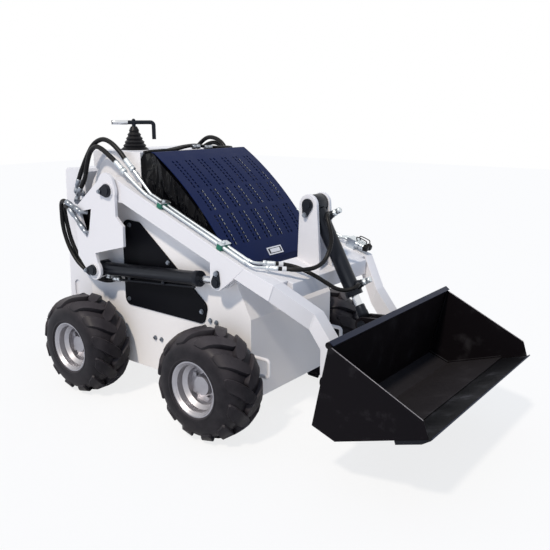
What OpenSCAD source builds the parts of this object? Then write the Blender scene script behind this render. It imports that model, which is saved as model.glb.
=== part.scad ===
// Stand-on compact loader: four wheels, lift arms, bucket, two lift cylinders and a tilt cylinder.
// X is forward, Y is left, Z is up. Sizes are in millimetres, angles in degrees.

/* [Wheels] */
// Distance between the front and the rear axle
wheelbase = 790; // [760:1:860]
// Outer diameter of a tyre over its lugs
tyre_d = 457; // [440:1:470]
// Width of a tyre
tyre_w = 204; // [180:1:210]
// Gap between a side plate and a tyre
tyre_gap = 20; // [16:1:40]
// Outer diameter of the rim's flange
rim_d = 228; // [210:1:240]
// Number of wheel nuts on a rim
nut_count = 5; // [4:1:8]
// Number of lugs on each half of a tyre
lug_count = 12; // [10:1:14]
// Height of a tyre's lugs
lug_h = 20; // [12:1:24]
// Radius of the wheel spindle
spindle_r = 28; // [22:1:34]

/* [Frame] */
// Half of the width over the side plates
frame_half = 283; // [240:1:320]
// Thickness of the side plates and sheets
plate = 8; // [5:1:10]
// Height of the belly above the ground
belly_z = 135; // [110:1:170]
// Distance of the front plate ahead of mid-wheelbase
front_x = 512; // [490:1:520]
// Height of the top of the front plate
front_top_z = 480; // [440:1:500]
// Distance of the rear face behind mid-wheelbase
rear_x = 640; // [600:1:680]
// Distance of the joint between tub and rear body behind mid-wheelbase
rear_joint_x = 495; // [470:1:520]
// Height of the top of the rear body
rear_top_z = 1020; // [960:1:1060]
// Height of the console's top edge
console_z = 1110; // [1080:1:1130]
// Length of the foot platform
platform_l = 265; // [200:5:320]
// Height of the foot platform's top
platform_z = 215; // [180:1:260]

/* [Hood] */
// Distance that the hood stands out past the side plates
hood_over = 6; // [2:1:8]
// Radius of the hood's curve
hood_r = 1400; // [1000:10:2000]
// Thickness of the hood's sheet
hood_t = 4; // [3:0.5:6]

/* [Towers and arms] */
// Gap between a side plate and an arm
arm_gap = 14; // [12:1:18]
// Width of an arm's box section
arm_w = 60; // [50:1:62]
// Distance that an arm's front end jogs inward
arm_jog = 98; // [80:1:110]
// Gap between an arm and its tower's outer plate
tower_gap = 8; // [6:1:12]
// Thickness of a tower's outer plate
tower_t = 13; // [8:1:16]
// Radius of the arm's pivot pins
pivot_r = 20; // [16:1:24]
// Radius of the cylinders' pins and the bucket's hinge pins
pin_r = 16; // [12:1:18]

/* [Cylinders] */
// Outer diameter of a lift cylinder's barrel
lift_d = 58; // [50:1:58]
// Diameter of a lift cylinder's rod
lift_rod_d = 30; // [24:1:34]
// Outer diameter of the tilt cylinder's barrel
tilt_d = 62; // [54:1:66]
// Diameter of the tilt cylinder's rod
tilt_rod_d = 32; // [24:1:36]

/* [Bucket] */
// Half of the width of the bucket
bucket_half = 461; // [440:1:480]
// Thickness of the bucket's sheet
bucket_t = 6; // [4:1:9]
// Thickness of the cutting edge
edge_t = 14; // [10:1:18]

/* [Hidden] */
$fn = 64;

// Colours
white = "#e8e6e6";
navy = "#2b3a5c";
black = "#17181c";
zinc = "#b9bec6";
rubber = "#1d1d1f";
chrome = "#d8dadd";

// Clearances: a turning fit, a fit within one body, a seat
turn_gap = 0.1;
fit_gap = 0.1;
seat = 0.05;

// Pins in the side view, as x and z from mid-wheelbase on the ground
arm_pivot = [-209, 948];
lift_base = [-338, 579];
lift_eye = [400, 630];
mast_top = [618, 920];
tilt_eye = [872, 467];
bucket_hinge = [870, 300];

// Widths that follow from the frame
tyre_y = frame_half + tyre_gap + tyre_w / 2;
hood_half = frame_half + hood_over;
arm_in = frame_half + arm_gap;

// Arm outline: top and bottom of the rear section, then of the two bends and the end
arm_top_rear = [-150, 984];
arm_top_mid = [540, 706];
arm_top_bend = [681, 663];
arm_low_rear = [-146, 898];
arm_low_mid = [396, 693];
arm_low_bend = [657, 599];
bend_top = [799, 551];
bend_low = bend_top + arm_low_bend - arm_top_bend;
arm_end_r = 44;
arm_boss_r = 56;
arm_out = arm_in + arm_w;
jog_in = arm_in - arm_jog;
jog_out = arm_out - arm_jog;

// Tower planes
tower_in = arm_out + tower_gap;
tower_out = tower_in + tower_t;
boss_h = 6;

// Hood ends
hood_top = [-4, console_z + hood_t];
hood_low = [431, 685];

// Bucket outline
bucket_top = [993, 530];
bucket_heel = [931, 227];
bucket_bottom = [1026, 195];
bucket_floor = [1262, 276];
bucket_edge = [1374, 314];
bucket_lip = [1343, 365];

// Wheel places: name column is implied by the node lines below
axle_x = wheelbase / 2;
axle_z = tyre_d / 2;
rim_out = tyre_y + tyre_w / 2 - 6;
disc_y = tyre_y + 8;
disc_t = 12;

// The frame's middle in X, so that the origin lies under the middle of the whole
tail_x = -rear_x - platform_l;
mid_x = (tail_x + bucket_edge[0]) / 2;

module placed() {
    translate([-mid_x, 0, 0])
        children();
}

// Side-view profile drawn out from y0 to y1
module slab(y0, y1) {
    translate([0, max(y0, y1), 0])
        rotate([90, 0, 0])
            linear_extrude(abs(y1 - y0))
                children();
}

// Cylinder across the machine at a side-view point
module cross_pin(p, r, y0, y1) {
    translate([p[0], max(y0, y1), p[1]])
        rotate([90, 0, 0])
            cylinder(r = r, h = abs(y1 - y0));
}

// Cylinder between two side-view points at a lateral place
module side_rod(p, q, y, r) {
    d = q - p;
    translate([p[0], y, p[1]])
        rotate([0, 90 - atan2(d[1], d[0]), 0])
            cylinder(r = r, h = norm(d));
}

function along(p, q, t) = p + (q - p) / norm(q - p) * t;

// Right side is -1, left side is 1
module side(s) {
    if (s < 0)
        children();
    else
        mirror([0, 1, 0])
            children();
}

// Frame

console_front_x = -98;
console_rear_x = -282;
s_curve = [[-365, 1054], [-431, 973], [-489, 853]];
diag_top = [console_front_x, 905];
panel_top = hood_low - [7, 33];

module side_profile() {
    polygon([
        [-rear_joint_x, belly_z], [front_x, belly_z], [front_x, front_top_z], panel_top, diag_top,
        [console_front_x, console_z], [console_rear_x, console_z], s_curve[0], s_curve[1], s_curve[2],
        [-rear_joint_x, s_curve[2][1] - 20]
    ]);
}

// Pin retainer outline: a round over the pin and a small round at its bolt
ret_bolt_r = 11;
frame_ret = [-42, -6];
mast_ret = [-10, -40];
rod_ret = [6, 38];

module retainer(p, r, tip) {
    hull() {
        translate(p) circle(r = r);
        translate(p + tip) circle(r = ret_bolt_r);
    }
}

// Height of the side plates' top edge behind the sloped front panel
function edge_z(x) = panel_top[1] + (panel_top[0] - x) * (diag_top[1] - panel_top[1]) / (panel_top[0] - diag_top[0]);

module tub() {
    color(white)
        difference() {
            union() {
                for (s = [-1, 1])
                    side(s)
                        slab(-frame_half, -frame_half + plate)
                            side_profile();
                slab(-frame_half + plate, frame_half - plate)
                    polygon([
                        [-rear_joint_x, belly_z], [front_x, belly_z], [front_x, front_top_z], panel_top,
                        panel_top - [plate, plate / 2], [front_x - plate, front_top_z - plate * 0.3],
                        [front_x - plate, belly_z + plate], [-rear_joint_x, belly_z + plate]
                    ]);
            }
            for (s = [-1, 1])
                side(s) {
                    cross_pin(arm_pivot, pivot_r + fit_gap, -frame_half - 1, -frame_half + plate + 1);
                    cross_pin(lift_base, pin_r + fit_gap, -frame_half - 1, -frame_half + plate + 1);
                    for (x = [-axle_x, axle_x])
                        cross_pin([x, axle_z], spindle_r + fit_gap, -frame_half - 1, -frame_half + plate + 1);
                }
        }
}

// Lashing slot in the rear body's sides
slot_at = [-608, 425];
slot_w = 44;
slot_h = 96;

module rear_body() {
    edge = 14;
    lean = 30;
    color(white)
        difference() {
            slab(-frame_half, frame_half)
                polygon([
                    [-rear_x, belly_z], [-rear_joint_x, belly_z], [-rear_joint_x, rear_top_z - edge],
                    [-rear_joint_x - edge, rear_top_z], [-rear_x + edge, rear_top_z], [-rear_x, rear_top_z - edge],
                    [-rear_x - lean, platform_z + 100], [-rear_x, platform_z + 60]
                ]);
            for (s = [-1, 1])
                side(s)
                    slab(-frame_half - 1, -frame_half + plate) {
                        translate(slot_at + [0, (slot_h - slot_w) / 2]) circle(r = slot_w / 2);
                        translate(slot_at - [0, (slot_h - slot_w) / 2]) circle(r = slot_w / 2);
                        translate(slot_at) square([slot_w, slot_h - slot_w], center = true);
                    }
        }
}

console_tail_x = -430;

module console() {
    color(white)
        slab(-frame_half + plate, frame_half - plate)
            polygon([
                [console_front_x, console_z], [console_tail_x, console_z], [console_tail_x, console_z - 70],
                [console_tail_x + 60, console_z - 110], [console_front_x, console_z - 150]
            ]);
}

module tower(s) {
    color(white)
        side(s)
            difference() {
                union() {
                    slab(-tower_out, -tower_in)
                        difference() {
                            union() {
                                hull() {
                                    translate([-222, 972]) circle(r = 52);
                                    translate(arm_pivot) circle(r = 48);
                                    translate([-300, 900]) circle(r = 30);
                                }
                                polygon([
                                    [-166, 960], [-166, 838], [-122, 800], [-124, 710], [-324, 658], [-300, 590],
                                    [-380, 560], [-450, 633], [-455, 850], [-270, 990]
                                ]);
                                translate(lift_base) circle(r = 46);
                            }
                            polygon([[-424, 838], [-334, 858], [-356, 765], [-378, 722]]);
                        }
                    slab(-tower_in, -frame_half)
                        polygon([[-455, 640], [-443, 640], [-443, 850], [-455, 850]]);
                    slab(-tower_out - boss_h, -tower_out)
                        retainer(arm_pivot, pivot_r + 14, frame_ret);
                    slab(-tower_out - boss_h, -tower_out)
                        retainer(lift_base, pin_r + 14, frame_ret);
                }
                cross_pin(arm_pivot, pivot_r + fit_gap, -tower_out - boss_h - 1, -tower_in + 1);
                cross_pin(lift_base, pin_r + fit_gap, -tower_out - boss_h - 1, -tower_in + 1);
            }
}

// Hood: a sheet with a short flat lead at the top, one curve and a front lip over the sloped panel

hood_chord = norm(hood_low - hood_top);
hood_half_a = asin(hood_chord / 2 / hood_r);
hood_dir = (hood_low - hood_top) / hood_chord;
hood_mid = (hood_low + hood_top) / 2;
hood_c = hood_mid + [hood_dir[1], -hood_dir[0]] * hood_r * cos(hood_half_a);
hood_a0 = atan2(hood_top[1] - hood_c[1], hood_top[0] - hood_c[0]);
hood_steps = 20;
hood_lead = 14;
hood_lip = 35;

// Point on the hood's curve at a share of its length, at a depth below its outer face
function hood_pt(u, depth) =
    let (a = hood_a0 - 2 * hood_half_a * u)
    hood_c + (hood_r - depth) * [cos(a), sin(a)];

function hood_line(depth) = [
    [hood_top[0] - hood_lead, hood_top[1] - depth],
    [hood_top[0] - depth / 2, hood_top[1] - depth],
    for (i = [1 : hood_steps - 1]) hood_pt(i / hood_steps, depth),
    [hood_low[0] - depth, hood_low[1] - depth / 2],
    [hood_low[0] - depth, hood_low[1] - hood_lip]
];

function reversed(v) = [for (i = [len(v) - 1 : -1 : 0]) v[i]];

// Slots of the hood: columns of paired rows, in bands given as first share of the curve and slot count
slot_cols = 7;
slot_pitch_y = 76;
slot_pair = 23;
slot_wide = 9;
slot_long = 13;
slot_pitch = 19;
slot_bands = [[0.11, 9], [0.405, 6], [0.62, 8]];
hood_arc = 2 * hood_half_a * PI / 180 * hood_r;

// Bars across the hood, one for each slot along the curve
module slot_bars() {
    for (b = slot_bands, i = [0 : b[1] - 1]) {
        u0 = b[0] + i * slot_pitch / hood_arc;
        u1 = u0 + slot_long / hood_arc;
        slab(-hood_half, hood_half)
            polygon([hood_pt(u0, -8), hood_pt(u1, -8), hood_pt(u1, hood_t + 8), hood_pt(u0, hood_t + 8)]);
    }
}

// Strips along the hood, two for each column of slots
module slot_strips() {
    for (c = [0 : slot_cols - 1], k = [-0.5, 0.5]) {
        y = (c - (slot_cols - 1) / 2) * slot_pitch_y + k * slot_pair;
        translate([hood_top[0], y - slot_wide / 2, hood_low[1] - 100])
            cube([hood_low[0] - hood_top[0] + 100, slot_wide, hood_top[1] - hood_low[1] + 200]);
    }
}

module hood() {
    color(navy)
        difference() {
            slab(-hood_half, hood_half)
                polygon(concat(hood_line(0), reversed(hood_line(hood_t))));
            intersection() {
                slot_bars();
                slot_strips();
            }
        }
}

// Engine and the shroud that fills the space under the hood
engine_x = -90;
engine_l = 430;
engine_h = 420;
engine_half = frame_half - 93;
cowl_half = frame_half - 22;
cowl_out = frame_half - 1;
cowl_gap = 24;
cowl_front_x = 280;
cowl_rear_x = console_front_x + 1;
cowl_end = hood_pt(0.9, cowl_gap);
cowl_top_z = hood_top[1] - hood_t - seat;
engine_top_z = belly_z + plate + engine_h;

module engine_block() {
    color(black)
        translate([engine_x, -engine_half, belly_z + plate])
            cube([engine_l, 2 * engine_half, engine_h]);
}

module engine_cowl() {
    color(black) {
        slab(-cowl_half, cowl_half)
            polygon([
                [engine_x, engine_top_z], [cowl_front_x, engine_top_z], [cowl_front_x, engine_top_z + 80],
                for (u = [0.7 : -0.1 : 0.1]) hood_pt(u, cowl_gap),
                [hood_top[0], hood_top[1] - cowl_gap], [engine_x, hood_top[1] - cowl_gap]
            ]);
        slab(-cowl_out, cowl_out)
            polygon([
                [cowl_rear_x, edge_z(cowl_rear_x) + 2], [cowl_end[0], edge_z(cowl_end[0]) + 2],
                for (u = [0.9 : -0.1 : 0.1]) hood_pt(u, cowl_gap),
                [hood_top[0] - hood_lead, cowl_top_z], [cowl_rear_x + 22, cowl_top_z], [cowl_rear_x, cowl_top_z - 28]
            ]);
    }
}

module side_cover(s) {
    color(black)
        side(s)
            slab(-frame_half - 5, -frame_half)
                hull() {
                    translate([-205, 450]) circle(r = 34);
                    translate([-195, 770]) circle(r = 42);
                    translate([-135, 775]) circle(r = 34);
                    translate([245, 485]) circle(r = 34);
                    translate([235, 448]) circle(r = 34);
                }
}

// Controls

boot_at = [-292, 138 - frame_half];
boot_h = 104;

module joystick_boot() {
    color(black)
        translate([boot_at[0], boot_at[1], console_z])
            rotate_extrude()
                polygon([
                    [0, 0], [58, 0], [58, 7], [49, 13], [52, 20], [42, 28], [45, 35], [35, 44], [38, 51], [28, 61],
                    [31, 68], [21, 79], [23, 86], [14, boot_h], [0, boot_h]
                ]);
}

// Handle: a stub, a cross bar turned about the stub, and a grip bent down at its left end
stick_h = 18;
stick_turn = 51.5;
stick_r = 9;
bar_right = 98;
bar_left = 75;
bar_bend = 14;
grip_l = 62;

module joystick_handle() {
    color(black)
        translate([boot_at[0], boot_at[1], console_z + boot_h]) {
            cylinder(r = stick_r, h = stick_h);
            translate([0, 0, stick_h])
                rotate([0, 0, stick_turn]) {
                    translate([-bar_right, 0, 0])
                        rotate([0, 90, 0])
                            cylinder(r = stick_r, h = bar_right + bar_left);
                    translate([bar_left, 0, -bar_bend])
                        rotate([90, 0, 0])
                            rotate_extrude(angle = 90)
                                translate([bar_bend, 0])
                                    circle(r = stick_r);
                    translate([bar_left + bar_bend, 0, -bar_bend - grip_l])
                        cylinder(r = stick_r, h = grip_l);
                }
        }
}

module foot_platform() {
    color(black)
        difference() {
            union() {
                translate([tail_x, -frame_half, platform_z - 14])
                    cube([platform_l, 2 * frame_half, 14]);
                for (y = [-frame_half, frame_half - 10])
                    translate([0, y + 10, 0])
                        rotate([90, 0, 0])
                            linear_extrude(10)
                                polygon([
                                    [-rear_x, platform_z - 60], [-rear_x, platform_z], [-rear_x - platform_l + 40, platform_z],
                                    [-rear_x - platform_l + 40, platform_z - 30]
                                ]);
            }
        }
}

// Tie-down loops: two bent bars that stand out of the front plate

loop_w = 72;
loop_l = 61;
loop_r = 8;
loop_bend = 14;
loop_y = frame_half - 20;
loop_z = 285;

module tie_downs() {
    color(white)
        for (s = [-1, 1])
            side(s)
                translate([front_x, -loop_y, loop_z])
                    rotate([0, 90, 0]) {
                        for (k = [-1, 1]) {
                            translate([k * loop_w / 2, 0, 0])
                                cylinder(r = loop_r, h = loop_l);
                            translate([k * (loop_w / 2 - loop_bend), 0, loop_l])
                                rotate([90, 0, 0])
                                    rotate([0, 0, k < 0 ? 90 : 0])
                                        rotate_extrude(angle = 90)
                                            translate([loop_bend, 0])
                                                circle(r = loop_r);
                        }
                        translate([-loop_w / 2 + loop_bend, 0, loop_l + loop_bend])
                            rotate([0, 90, 0])
                                cylinder(r = loop_r, h = loop_w - 2 * loop_bend);
                    }
}

// Wheels

module axle(sx, s) {
    color(black)
        side(s)
            translate([sx * axle_x, 0, axle_z])
                rotate([90, 0, 0]) {
                    translate([0, 0, frame_half - plate - 30])
                        cylinder(r = spindle_r, h = disc_y - frame_half + plate + 30 + disc_t);
                    translate([0, 0, frame_half])
                        cylinder(r = 70, h = 30);
                    translate([0, 0, frame_half + 30])
                        cylinder(r = 48, h = 50);
                }
}

bead_r = rim_d / 2 - 12;

// Lug outline on the tread: distance round the tyre, distance out from the middle line
lug_outline = [
    [-18, -16], [-4, -15], [8, -8], [26, 8], [52, 40], [80, 72], [116, 110],
    [62, 110], [28, 72], [0, 40], [-26, 8], [-25, -8]
];

// Outer shape of a tyre down to a depth below its lugs
module tyre_body(depth) {
    r = tyre_d / 2 - depth;
    h = tyre_w / 2;
    k = depth / 2;
    rotate_extrude($fn = 96)
        polygon([
            [bead_r, -h + 14], [rim_d / 2 + 1, -h + 14], [rim_d / 2 + 1, -h + 2], [tyre_d / 2 - 70, -h + k / 2],
            [r - 22, -h + 12], [r, -h + 40], [r, h - 40], [r - 22, h - 12], [tyre_d / 2 - 70, h - k / 2],
            [rim_d / 2 + 1, h - 2], [rim_d / 2 + 1, h - 14], [bead_r, h - 14]
        ]);
}

module tyre(sx, s) {
    color(rubber)
        side(s)
            translate([sx * axle_x, -tyre_y, axle_z])
                rotate([90, 0, 0])
                    union() {
                        tyre_body(lug_h);
                        intersection() {
                            tyre_body(0);
                            for (i = [0 : lug_count - 1], half = [0, 1])
                                rotate([0, 0, (i + half / 2) * 360 / lug_count - 90])
                                    translate([tyre_d / 2 - 110, 0, 0])
                                        rotate([90, 0, 90])
                                            linear_extrude(130)
                                                mirror([0, half, 0])
                                                    polygon(lug_outline);
                        }
                    }
}

module rim(sx, s) {
    w = tyre_w / 2 - 6;
    t = 5;
    color(zinc)
        side(s)
            translate([sx * axle_x, -tyre_y, axle_z])
                rotate([90, 0, 0])
                    difference() {
                        union() {
                            rotate_extrude($fn = 96)
                                polygon([
                                    [rim_d / 2, -w], [rim_d / 2, -w + 5], [bead_r - fit_gap, -w + 7],
                                    [bead_r - fit_gap, w - 7], [rim_d / 2, w - 5], [rim_d / 2, w], [rim_d / 2 - 5, w],
                                    [bead_r - 5, w - 13], [bead_r - 8, 58], [bead_r - 24, 44], [bead_r - 26, -20],
                                    [bead_r - 10, -30],
                                    [bead_r - 8, -w]
                                ]);
                            translate([0, 0, disc_y - tyre_y])
                                cylinder(r = bead_r - 22, h = disc_t);
                            translate([0, 0, disc_y - tyre_y + disc_t])
                                cylinder(r1 = 44, r2 = 38, h = 26);
                            for (i = [0 : nut_count - 1])
                                rotate([0, 0, i * 360 / nut_count])
                                    translate([58, 0, disc_y - tyre_y + disc_t])
                                        cylinder(r = 11, h = 14, $fn = 6);
                        }
                        translate([0, 0, disc_y - tyre_y - 1])
                            cylinder(r = spindle_r + turn_gap, h = disc_t + 2 + turn_gap);
                    }
}

// Pins held by the frame, each with its retainer on the outside
ret_t = 8;

module frame_pin(p, r) {
    for (s = [-1, 1])
        side(s) {
            cross_pin(p, r, -tower_out - boss_h - ret_t - 4, -frame_half + plate + 6);
            slab(-tower_out - boss_h - ret_t, -tower_out - boss_h)
                retainer(p, r + 9, frame_ret);
        }
}

module pivot_pins() {
    color(black)
        frame_pin(arm_pivot, pivot_r);
}

module base_pins() {
    color(black)
        frame_pin(lift_base, pin_r);
}

// Lift arms

lug_t = 12;

module lug_profile() {
    hull() {
        translate(lift_eye) circle(r = 34);
        polygon([lift_eye + [-34, 72], lift_eye + [-34, 92], lift_eye + [95, 46], lift_eye + [85, 22]]);
    }
}

module arm_profile() {
    union() {
        translate(arm_pivot) circle(r = arm_boss_r);
        polygon([
            arm_pivot + [20, 52], arm_top_rear, arm_top_mid, arm_top_bend, arm_low_bend, arm_low_mid, arm_low_rear,
            arm_pivot + [-10, -55]
        ]);
    }
}

// Section between the two bends, as a block that steps inward
module arm_step() {
    a = [arm_top_bend, arm_low_bend];
    b = [bend_top, bend_low];
    polyhedron(
        points = [
            for (p = a) [p[0], -arm_out, p[1]],
            for (p = a) [p[0], -arm_in, p[1]],
            for (p = b) [p[0], -jog_out, p[1]],
            for (p = b) [p[0], -jog_in, p[1]]
        ],
        faces = [[1, 3, 2, 0], [6, 7, 5, 4], [4, 5, 1, 0], [3, 7, 6, 2], [2, 6, 4, 0], [5, 7, 3, 1]]
    );
}

module arm_end_profile() {
    union() {
        polygon([
            bend_top, [880, 449], bucket_hinge + [arm_end_r, 60], bucket_hinge + [arm_end_r, 0],
            bucket_hinge + [-arm_end_r, 0], bucket_hinge + [-arm_end_r, 120], bend_low
        ]);
        translate(bucket_hinge) circle(r = arm_end_r);
    }
}

module arm(s) {
    color(white)
        side(s)
            difference() {
                union() {
                    slab(-arm_out, -arm_in)
                        arm_profile();
                    slab(-arm_out, -arm_out + lug_t)
                        lug_profile();
                    slab(-arm_in - lug_t, -arm_in)
                        lug_profile();
                    arm_step();
                    slab(-jog_out, -jog_in)
                        arm_end_profile();
                }
                cross_pin(arm_pivot, pivot_r + turn_gap, -arm_out - 1, -arm_in + 1);
                cross_pin(bucket_hinge, pin_r + turn_gap, -jog_out - 1, -jog_in + 1);
                slab(-arm_out + lug_t, -arm_in - lug_t)
                    intersection() {
                        translate(lift_eye) circle(r = 78);
                        translate(lift_eye + [-100, -100]) square([200, 170]);
                    }
            }
}

beam_h = 50;
beam_rear_h = 36;
beam_prof = [
    [556, 701], arm_top_bend, along(arm_top_bend, arm_low_bend, beam_h),
    [556, 701] + (arm_low_bend - arm_top_bend) / norm(arm_low_bend - arm_top_bend) * beam_rear_h
];

// Front box of the beam between the arms' inward steps
beam_front = 24;
beam_deep = 70;

module cross_beam() {
    color(white) {
        slab(-arm_in, arm_in)
            polygon(beam_prof);
        slab(-arm_in + 30, arm_in - 30)
            polygon([
                beam_prof[0], along(beam_prof[0], arm_top_bend, 155), arm_top_bend + [beam_front, -beam_deep],
                arm_top_bend + [2, -beam_deep], beam_prof[3]
            ]);
    }
}

mast_in = 37;
mast_r = 42;
mast_t = 16;

module mast() {
    color(white)
        difference() {
            for (s = [-1, 1])
                side(s)
                    slab(-mast_in - mast_t, -mast_in)
                        union() {
                            translate(mast_top) circle(r = mast_r);
                            polygon([
                                mast_top + [-mast_r, 0], mast_top + [mast_r, 0], along(beam_prof[0], beam_prof[1], 128),
                                along(beam_prof[0], beam_prof[1], 12)
                            ]);
                        }
            cross_pin(mast_top, pin_r + fit_gap, -mast_in - mast_t - 1, mast_in + mast_t + 1);
        }
}

module mast_pin() {
    color(black) {
        cross_pin(mast_top, pin_r, -mast_in - mast_t - ret_t - 4, mast_in + mast_t + 8);
        slab(-mast_in - mast_t - ret_t, -mast_in - mast_t)
            retainer(mast_top, pin_r + 9, mast_ret);
    }
}

// Retainers of the lift rods' pins on the outside of the arm lugs
module rod_pin_heads() {
    color(black)
        for (s = [-1, 1])
            side(s) {
                slab(-arm_out - ret_t, -arm_out)
                    retainer(lift_eye, pin_r + 6, rod_ret);
                cross_pin(lift_eye, pin_r, -arm_out - ret_t - 4, -arm_out - ret_t);
            }
}

tube_r = 8;
tube_gap = 26;

// Oil tubes on top of the arms, held by clamps
module oil_tubes() {
    d = (arm_top_mid - arm_top_rear) / norm(arm_top_mid - arm_top_rear);
    n = [-d[1], d[0]];
    p = along(arm_top_rear, arm_top_mid, 30) + n * (tube_r + 8);
    q = along(arm_top_rear, arm_top_mid, 735) + n * (tube_r + 8);
    color(zinc)
        for (s = [-1, 1])
            side(s) {
                for (k = [-0.5, 0.5])
                    side_rod(p, q, -arm_in - arm_w / 2 + k * tube_gap, tube_r);
                for (t = [245, 600]) {
                    c = along(arm_top_rear, arm_top_mid, t);
                    slab(-arm_in - arm_w / 2 - 24, -arm_in - arm_w / 2 + 24)
                        polygon([c - d * 12, c + d * 12, c + d * 12 + n * 22, c - d * 12 + n * 22]);
                }
            }
}

// Quick couplers for attachments, on a bracket over the left arm's first bend
module couplers() {
    d = (arm_top_bend - arm_top_mid) / norm(arm_top_bend - arm_top_mid);
    n = [-d[1], d[0]];
    c = along(arm_top_mid, arm_top_bend, 58);
    color(zinc) {
        slab(arm_in + 4, arm_out - 4)
            polygon([c - d * 22, c + d * 22, c + d * 22 + n * 43, c - d * 22 + n * 43]);
        for (y = [arm_in + 16, arm_out - 16])
            side_rod(c + n * 28 + d * 22, c + n * 28 + d * 80, y, 11);
    }
}

// Cylinders: a barrel with a base eye, and a rod with a closed eye

gland_l = 26;
gland_t = 4;
wall = 8;

module barrel(p, q, y, len, d, eye_r, eye_w, rod_r) {
    difference() {
        union() {
            side_rod(along(p, q, eye_r - 8), along(p, q, len), y, d / 2);
            side_rod(along(p, q, len - gland_l), along(p, q, len), y, d / 2 + gland_t);
            cross_pin(p, eye_r, y - eye_w / 2, y + eye_w / 2);
        }
        cross_pin(p, pin_r + turn_gap, y - eye_w / 2 - 1, y + eye_w / 2 + 1);
        side_rod(along(p, q, eye_r + 8), along(p, q, len - gland_l), y, d / 2 - wall);
        side_rod(along(p, q, len - gland_l - 1), along(p, q, len + 1), y, rod_r + turn_gap);
    }
}

// Rod with its piston's head at a distance from the base pin
piston_l = 14;

module rod(p, q, y, from, r, eye_r, eye_w, bore) {
    side_rod(along(p, q, from), along(p, q, norm(q - p) - eye_r + 6), y, r);
    side_rod(along(p, q, from), along(p, q, from + piston_l), y, bore);
    cross_pin(q, eye_r, y - eye_w / 2, y + eye_w / 2);
}

lift_y = arm_in + arm_w / 2;
lift_show = 115;
lift_len = norm(lift_eye - lift_base) - lift_show;
lift_eye_w = arm_w - 2 * lug_t - 4;
tilt_show = 119;
tilt_len = norm(tilt_eye - mast_top) - tilt_show;

module lift_barrel(s) {
    color(black)
        side(s)
            barrel(lift_base, lift_eye, -lift_y, lift_len, lift_d, 36, arm_w - 4, lift_rod_d / 2);
}

module lift_rod(s) {
    color(chrome)
        side(s)
            rod(lift_base, lift_eye, -lift_y, 200, lift_rod_d / 2, 30, lift_eye_w, lift_d / 2 - wall - turn_gap);
}

module tilt_barrel() {
    color(black)
        barrel(mast_top, tilt_eye, 0, tilt_len, tilt_d, 38, 2 * mast_in - 4, tilt_rod_d / 2);
}

module tilt_rod() {
    color(chrome)
        rod(mast_top, tilt_eye, 0, 84, tilt_rod_d / 2, 28, ear_gap - 6, tilt_d / 2 - wall - turn_gap);
}

// Bucket

back_dir = (bucket_top - bucket_heel) / norm(bucket_top - bucket_heel);
back_n = [-back_dir[1], back_dir[0]];
attach_t = 16;
attach_half = 300;
ear_t = 14;
ear_gap = 46;
hinge_gap = 2;

function back_pt(t, n) = bucket_heel + back_dir * t + back_n * n;

module hinge_ear() {
    hull() {
        translate(bucket_hinge) circle(r = 34);
        polygon([back_pt(20, attach_t), back_pt(130, attach_t), back_pt(130, 2), back_pt(20, 2)]);
    }
}

module attach_plate() {
    color(black)
        difference() {
            union() {
                slab(-attach_half, attach_half)
                    polygon([back_pt(10, seat), back_pt(290, seat), back_pt(290, attach_t), back_pt(10, attach_t)]);
                for (s = [-1, 1])
                    side(s) {
                        slab(-jog_out - hinge_gap - ear_t, -jog_out - hinge_gap)
                            hinge_ear();
                        slab(-jog_in + hinge_gap, -jog_in + hinge_gap + ear_t)
                            hinge_ear();
                        slab(-ear_gap / 2 - ear_t, -ear_gap / 2)
                            hull() {
                                translate(tilt_eye) circle(r = 32);
                                polygon([back_pt(180, attach_t), back_pt(285, attach_t), back_pt(285, 2), back_pt(180, 2)]);
                            }
                    }
            }
            for (s = [-1, 1])
                side(s)
                    cross_pin(bucket_hinge, pin_r + fit_gap, -jog_out - hinge_gap - ear_t - 1, -jog_in + hinge_gap + ear_t + 1);
        }
}

module hinge_pins() {
    color(zinc) {
        for (s = [-1, 1])
            side(s)
                cross_pin(bucket_hinge, pin_r, -jog_out - hinge_gap - ear_t - 6, -jog_in + hinge_gap + ear_t + 6);
        for (s = [-1, 1])
            side(s)
                cross_pin(tilt_eye, pin_r + 4, -ear_gap / 2 - ear_t - 8, -ear_gap / 2 - ear_t);
    }
}

// The floor runs forward to the cutting edge, and the side plates stand on the edge as far as the toe
floor_dir = (bucket_floor - bucket_bottom) / norm(bucket_floor - bucket_bottom);
floor_n = [floor_dir[1], -floor_dir[0]];
bucket_toe = bucket_bottom + floor_dir * (norm(bucket_edge - bucket_bottom) - 14);

module bucket_shell() {
    color(black) {
        difference() {
            slab(-bucket_half, bucket_half)
                polygon([bucket_top, bucket_heel, bucket_bottom, bucket_toe, bucket_lip]);
            slab(-bucket_half + bucket_t, bucket_half - bucket_t) {
                offset(delta = -bucket_t)
                    polygon([
                        bucket_top + back_dir * 40, bucket_heel, bucket_bottom, bucket_toe + floor_dir * 90,
                        bucket_lip + [90, 100]
                    ]);
                polygon([
                    bucket_floor + floor_n * 2, bucket_floor - floor_n * 30,
                    bucket_toe + floor_dir * 60 - floor_n * 30, bucket_toe + floor_dir * 60 + floor_n * 2
                ]);
            }
        }
        slab(-bucket_half, bucket_half)
            translate(bucket_top)
                circle(r = 12);
    }
}

edge_lap = 16;

module cutting_edge() {
    d = floor_dir;
    n = floor_n;
    color(black)
        slab(-bucket_half, bucket_half)
            polygon([
                bucket_floor - d * edge_lap, bucket_edge, bucket_edge - d * 6 + n * 4, bucket_edge - d * 40 + n * edge_t,
                bucket_floor - d * edge_lap + n * edge_t
            ]);
}

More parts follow.
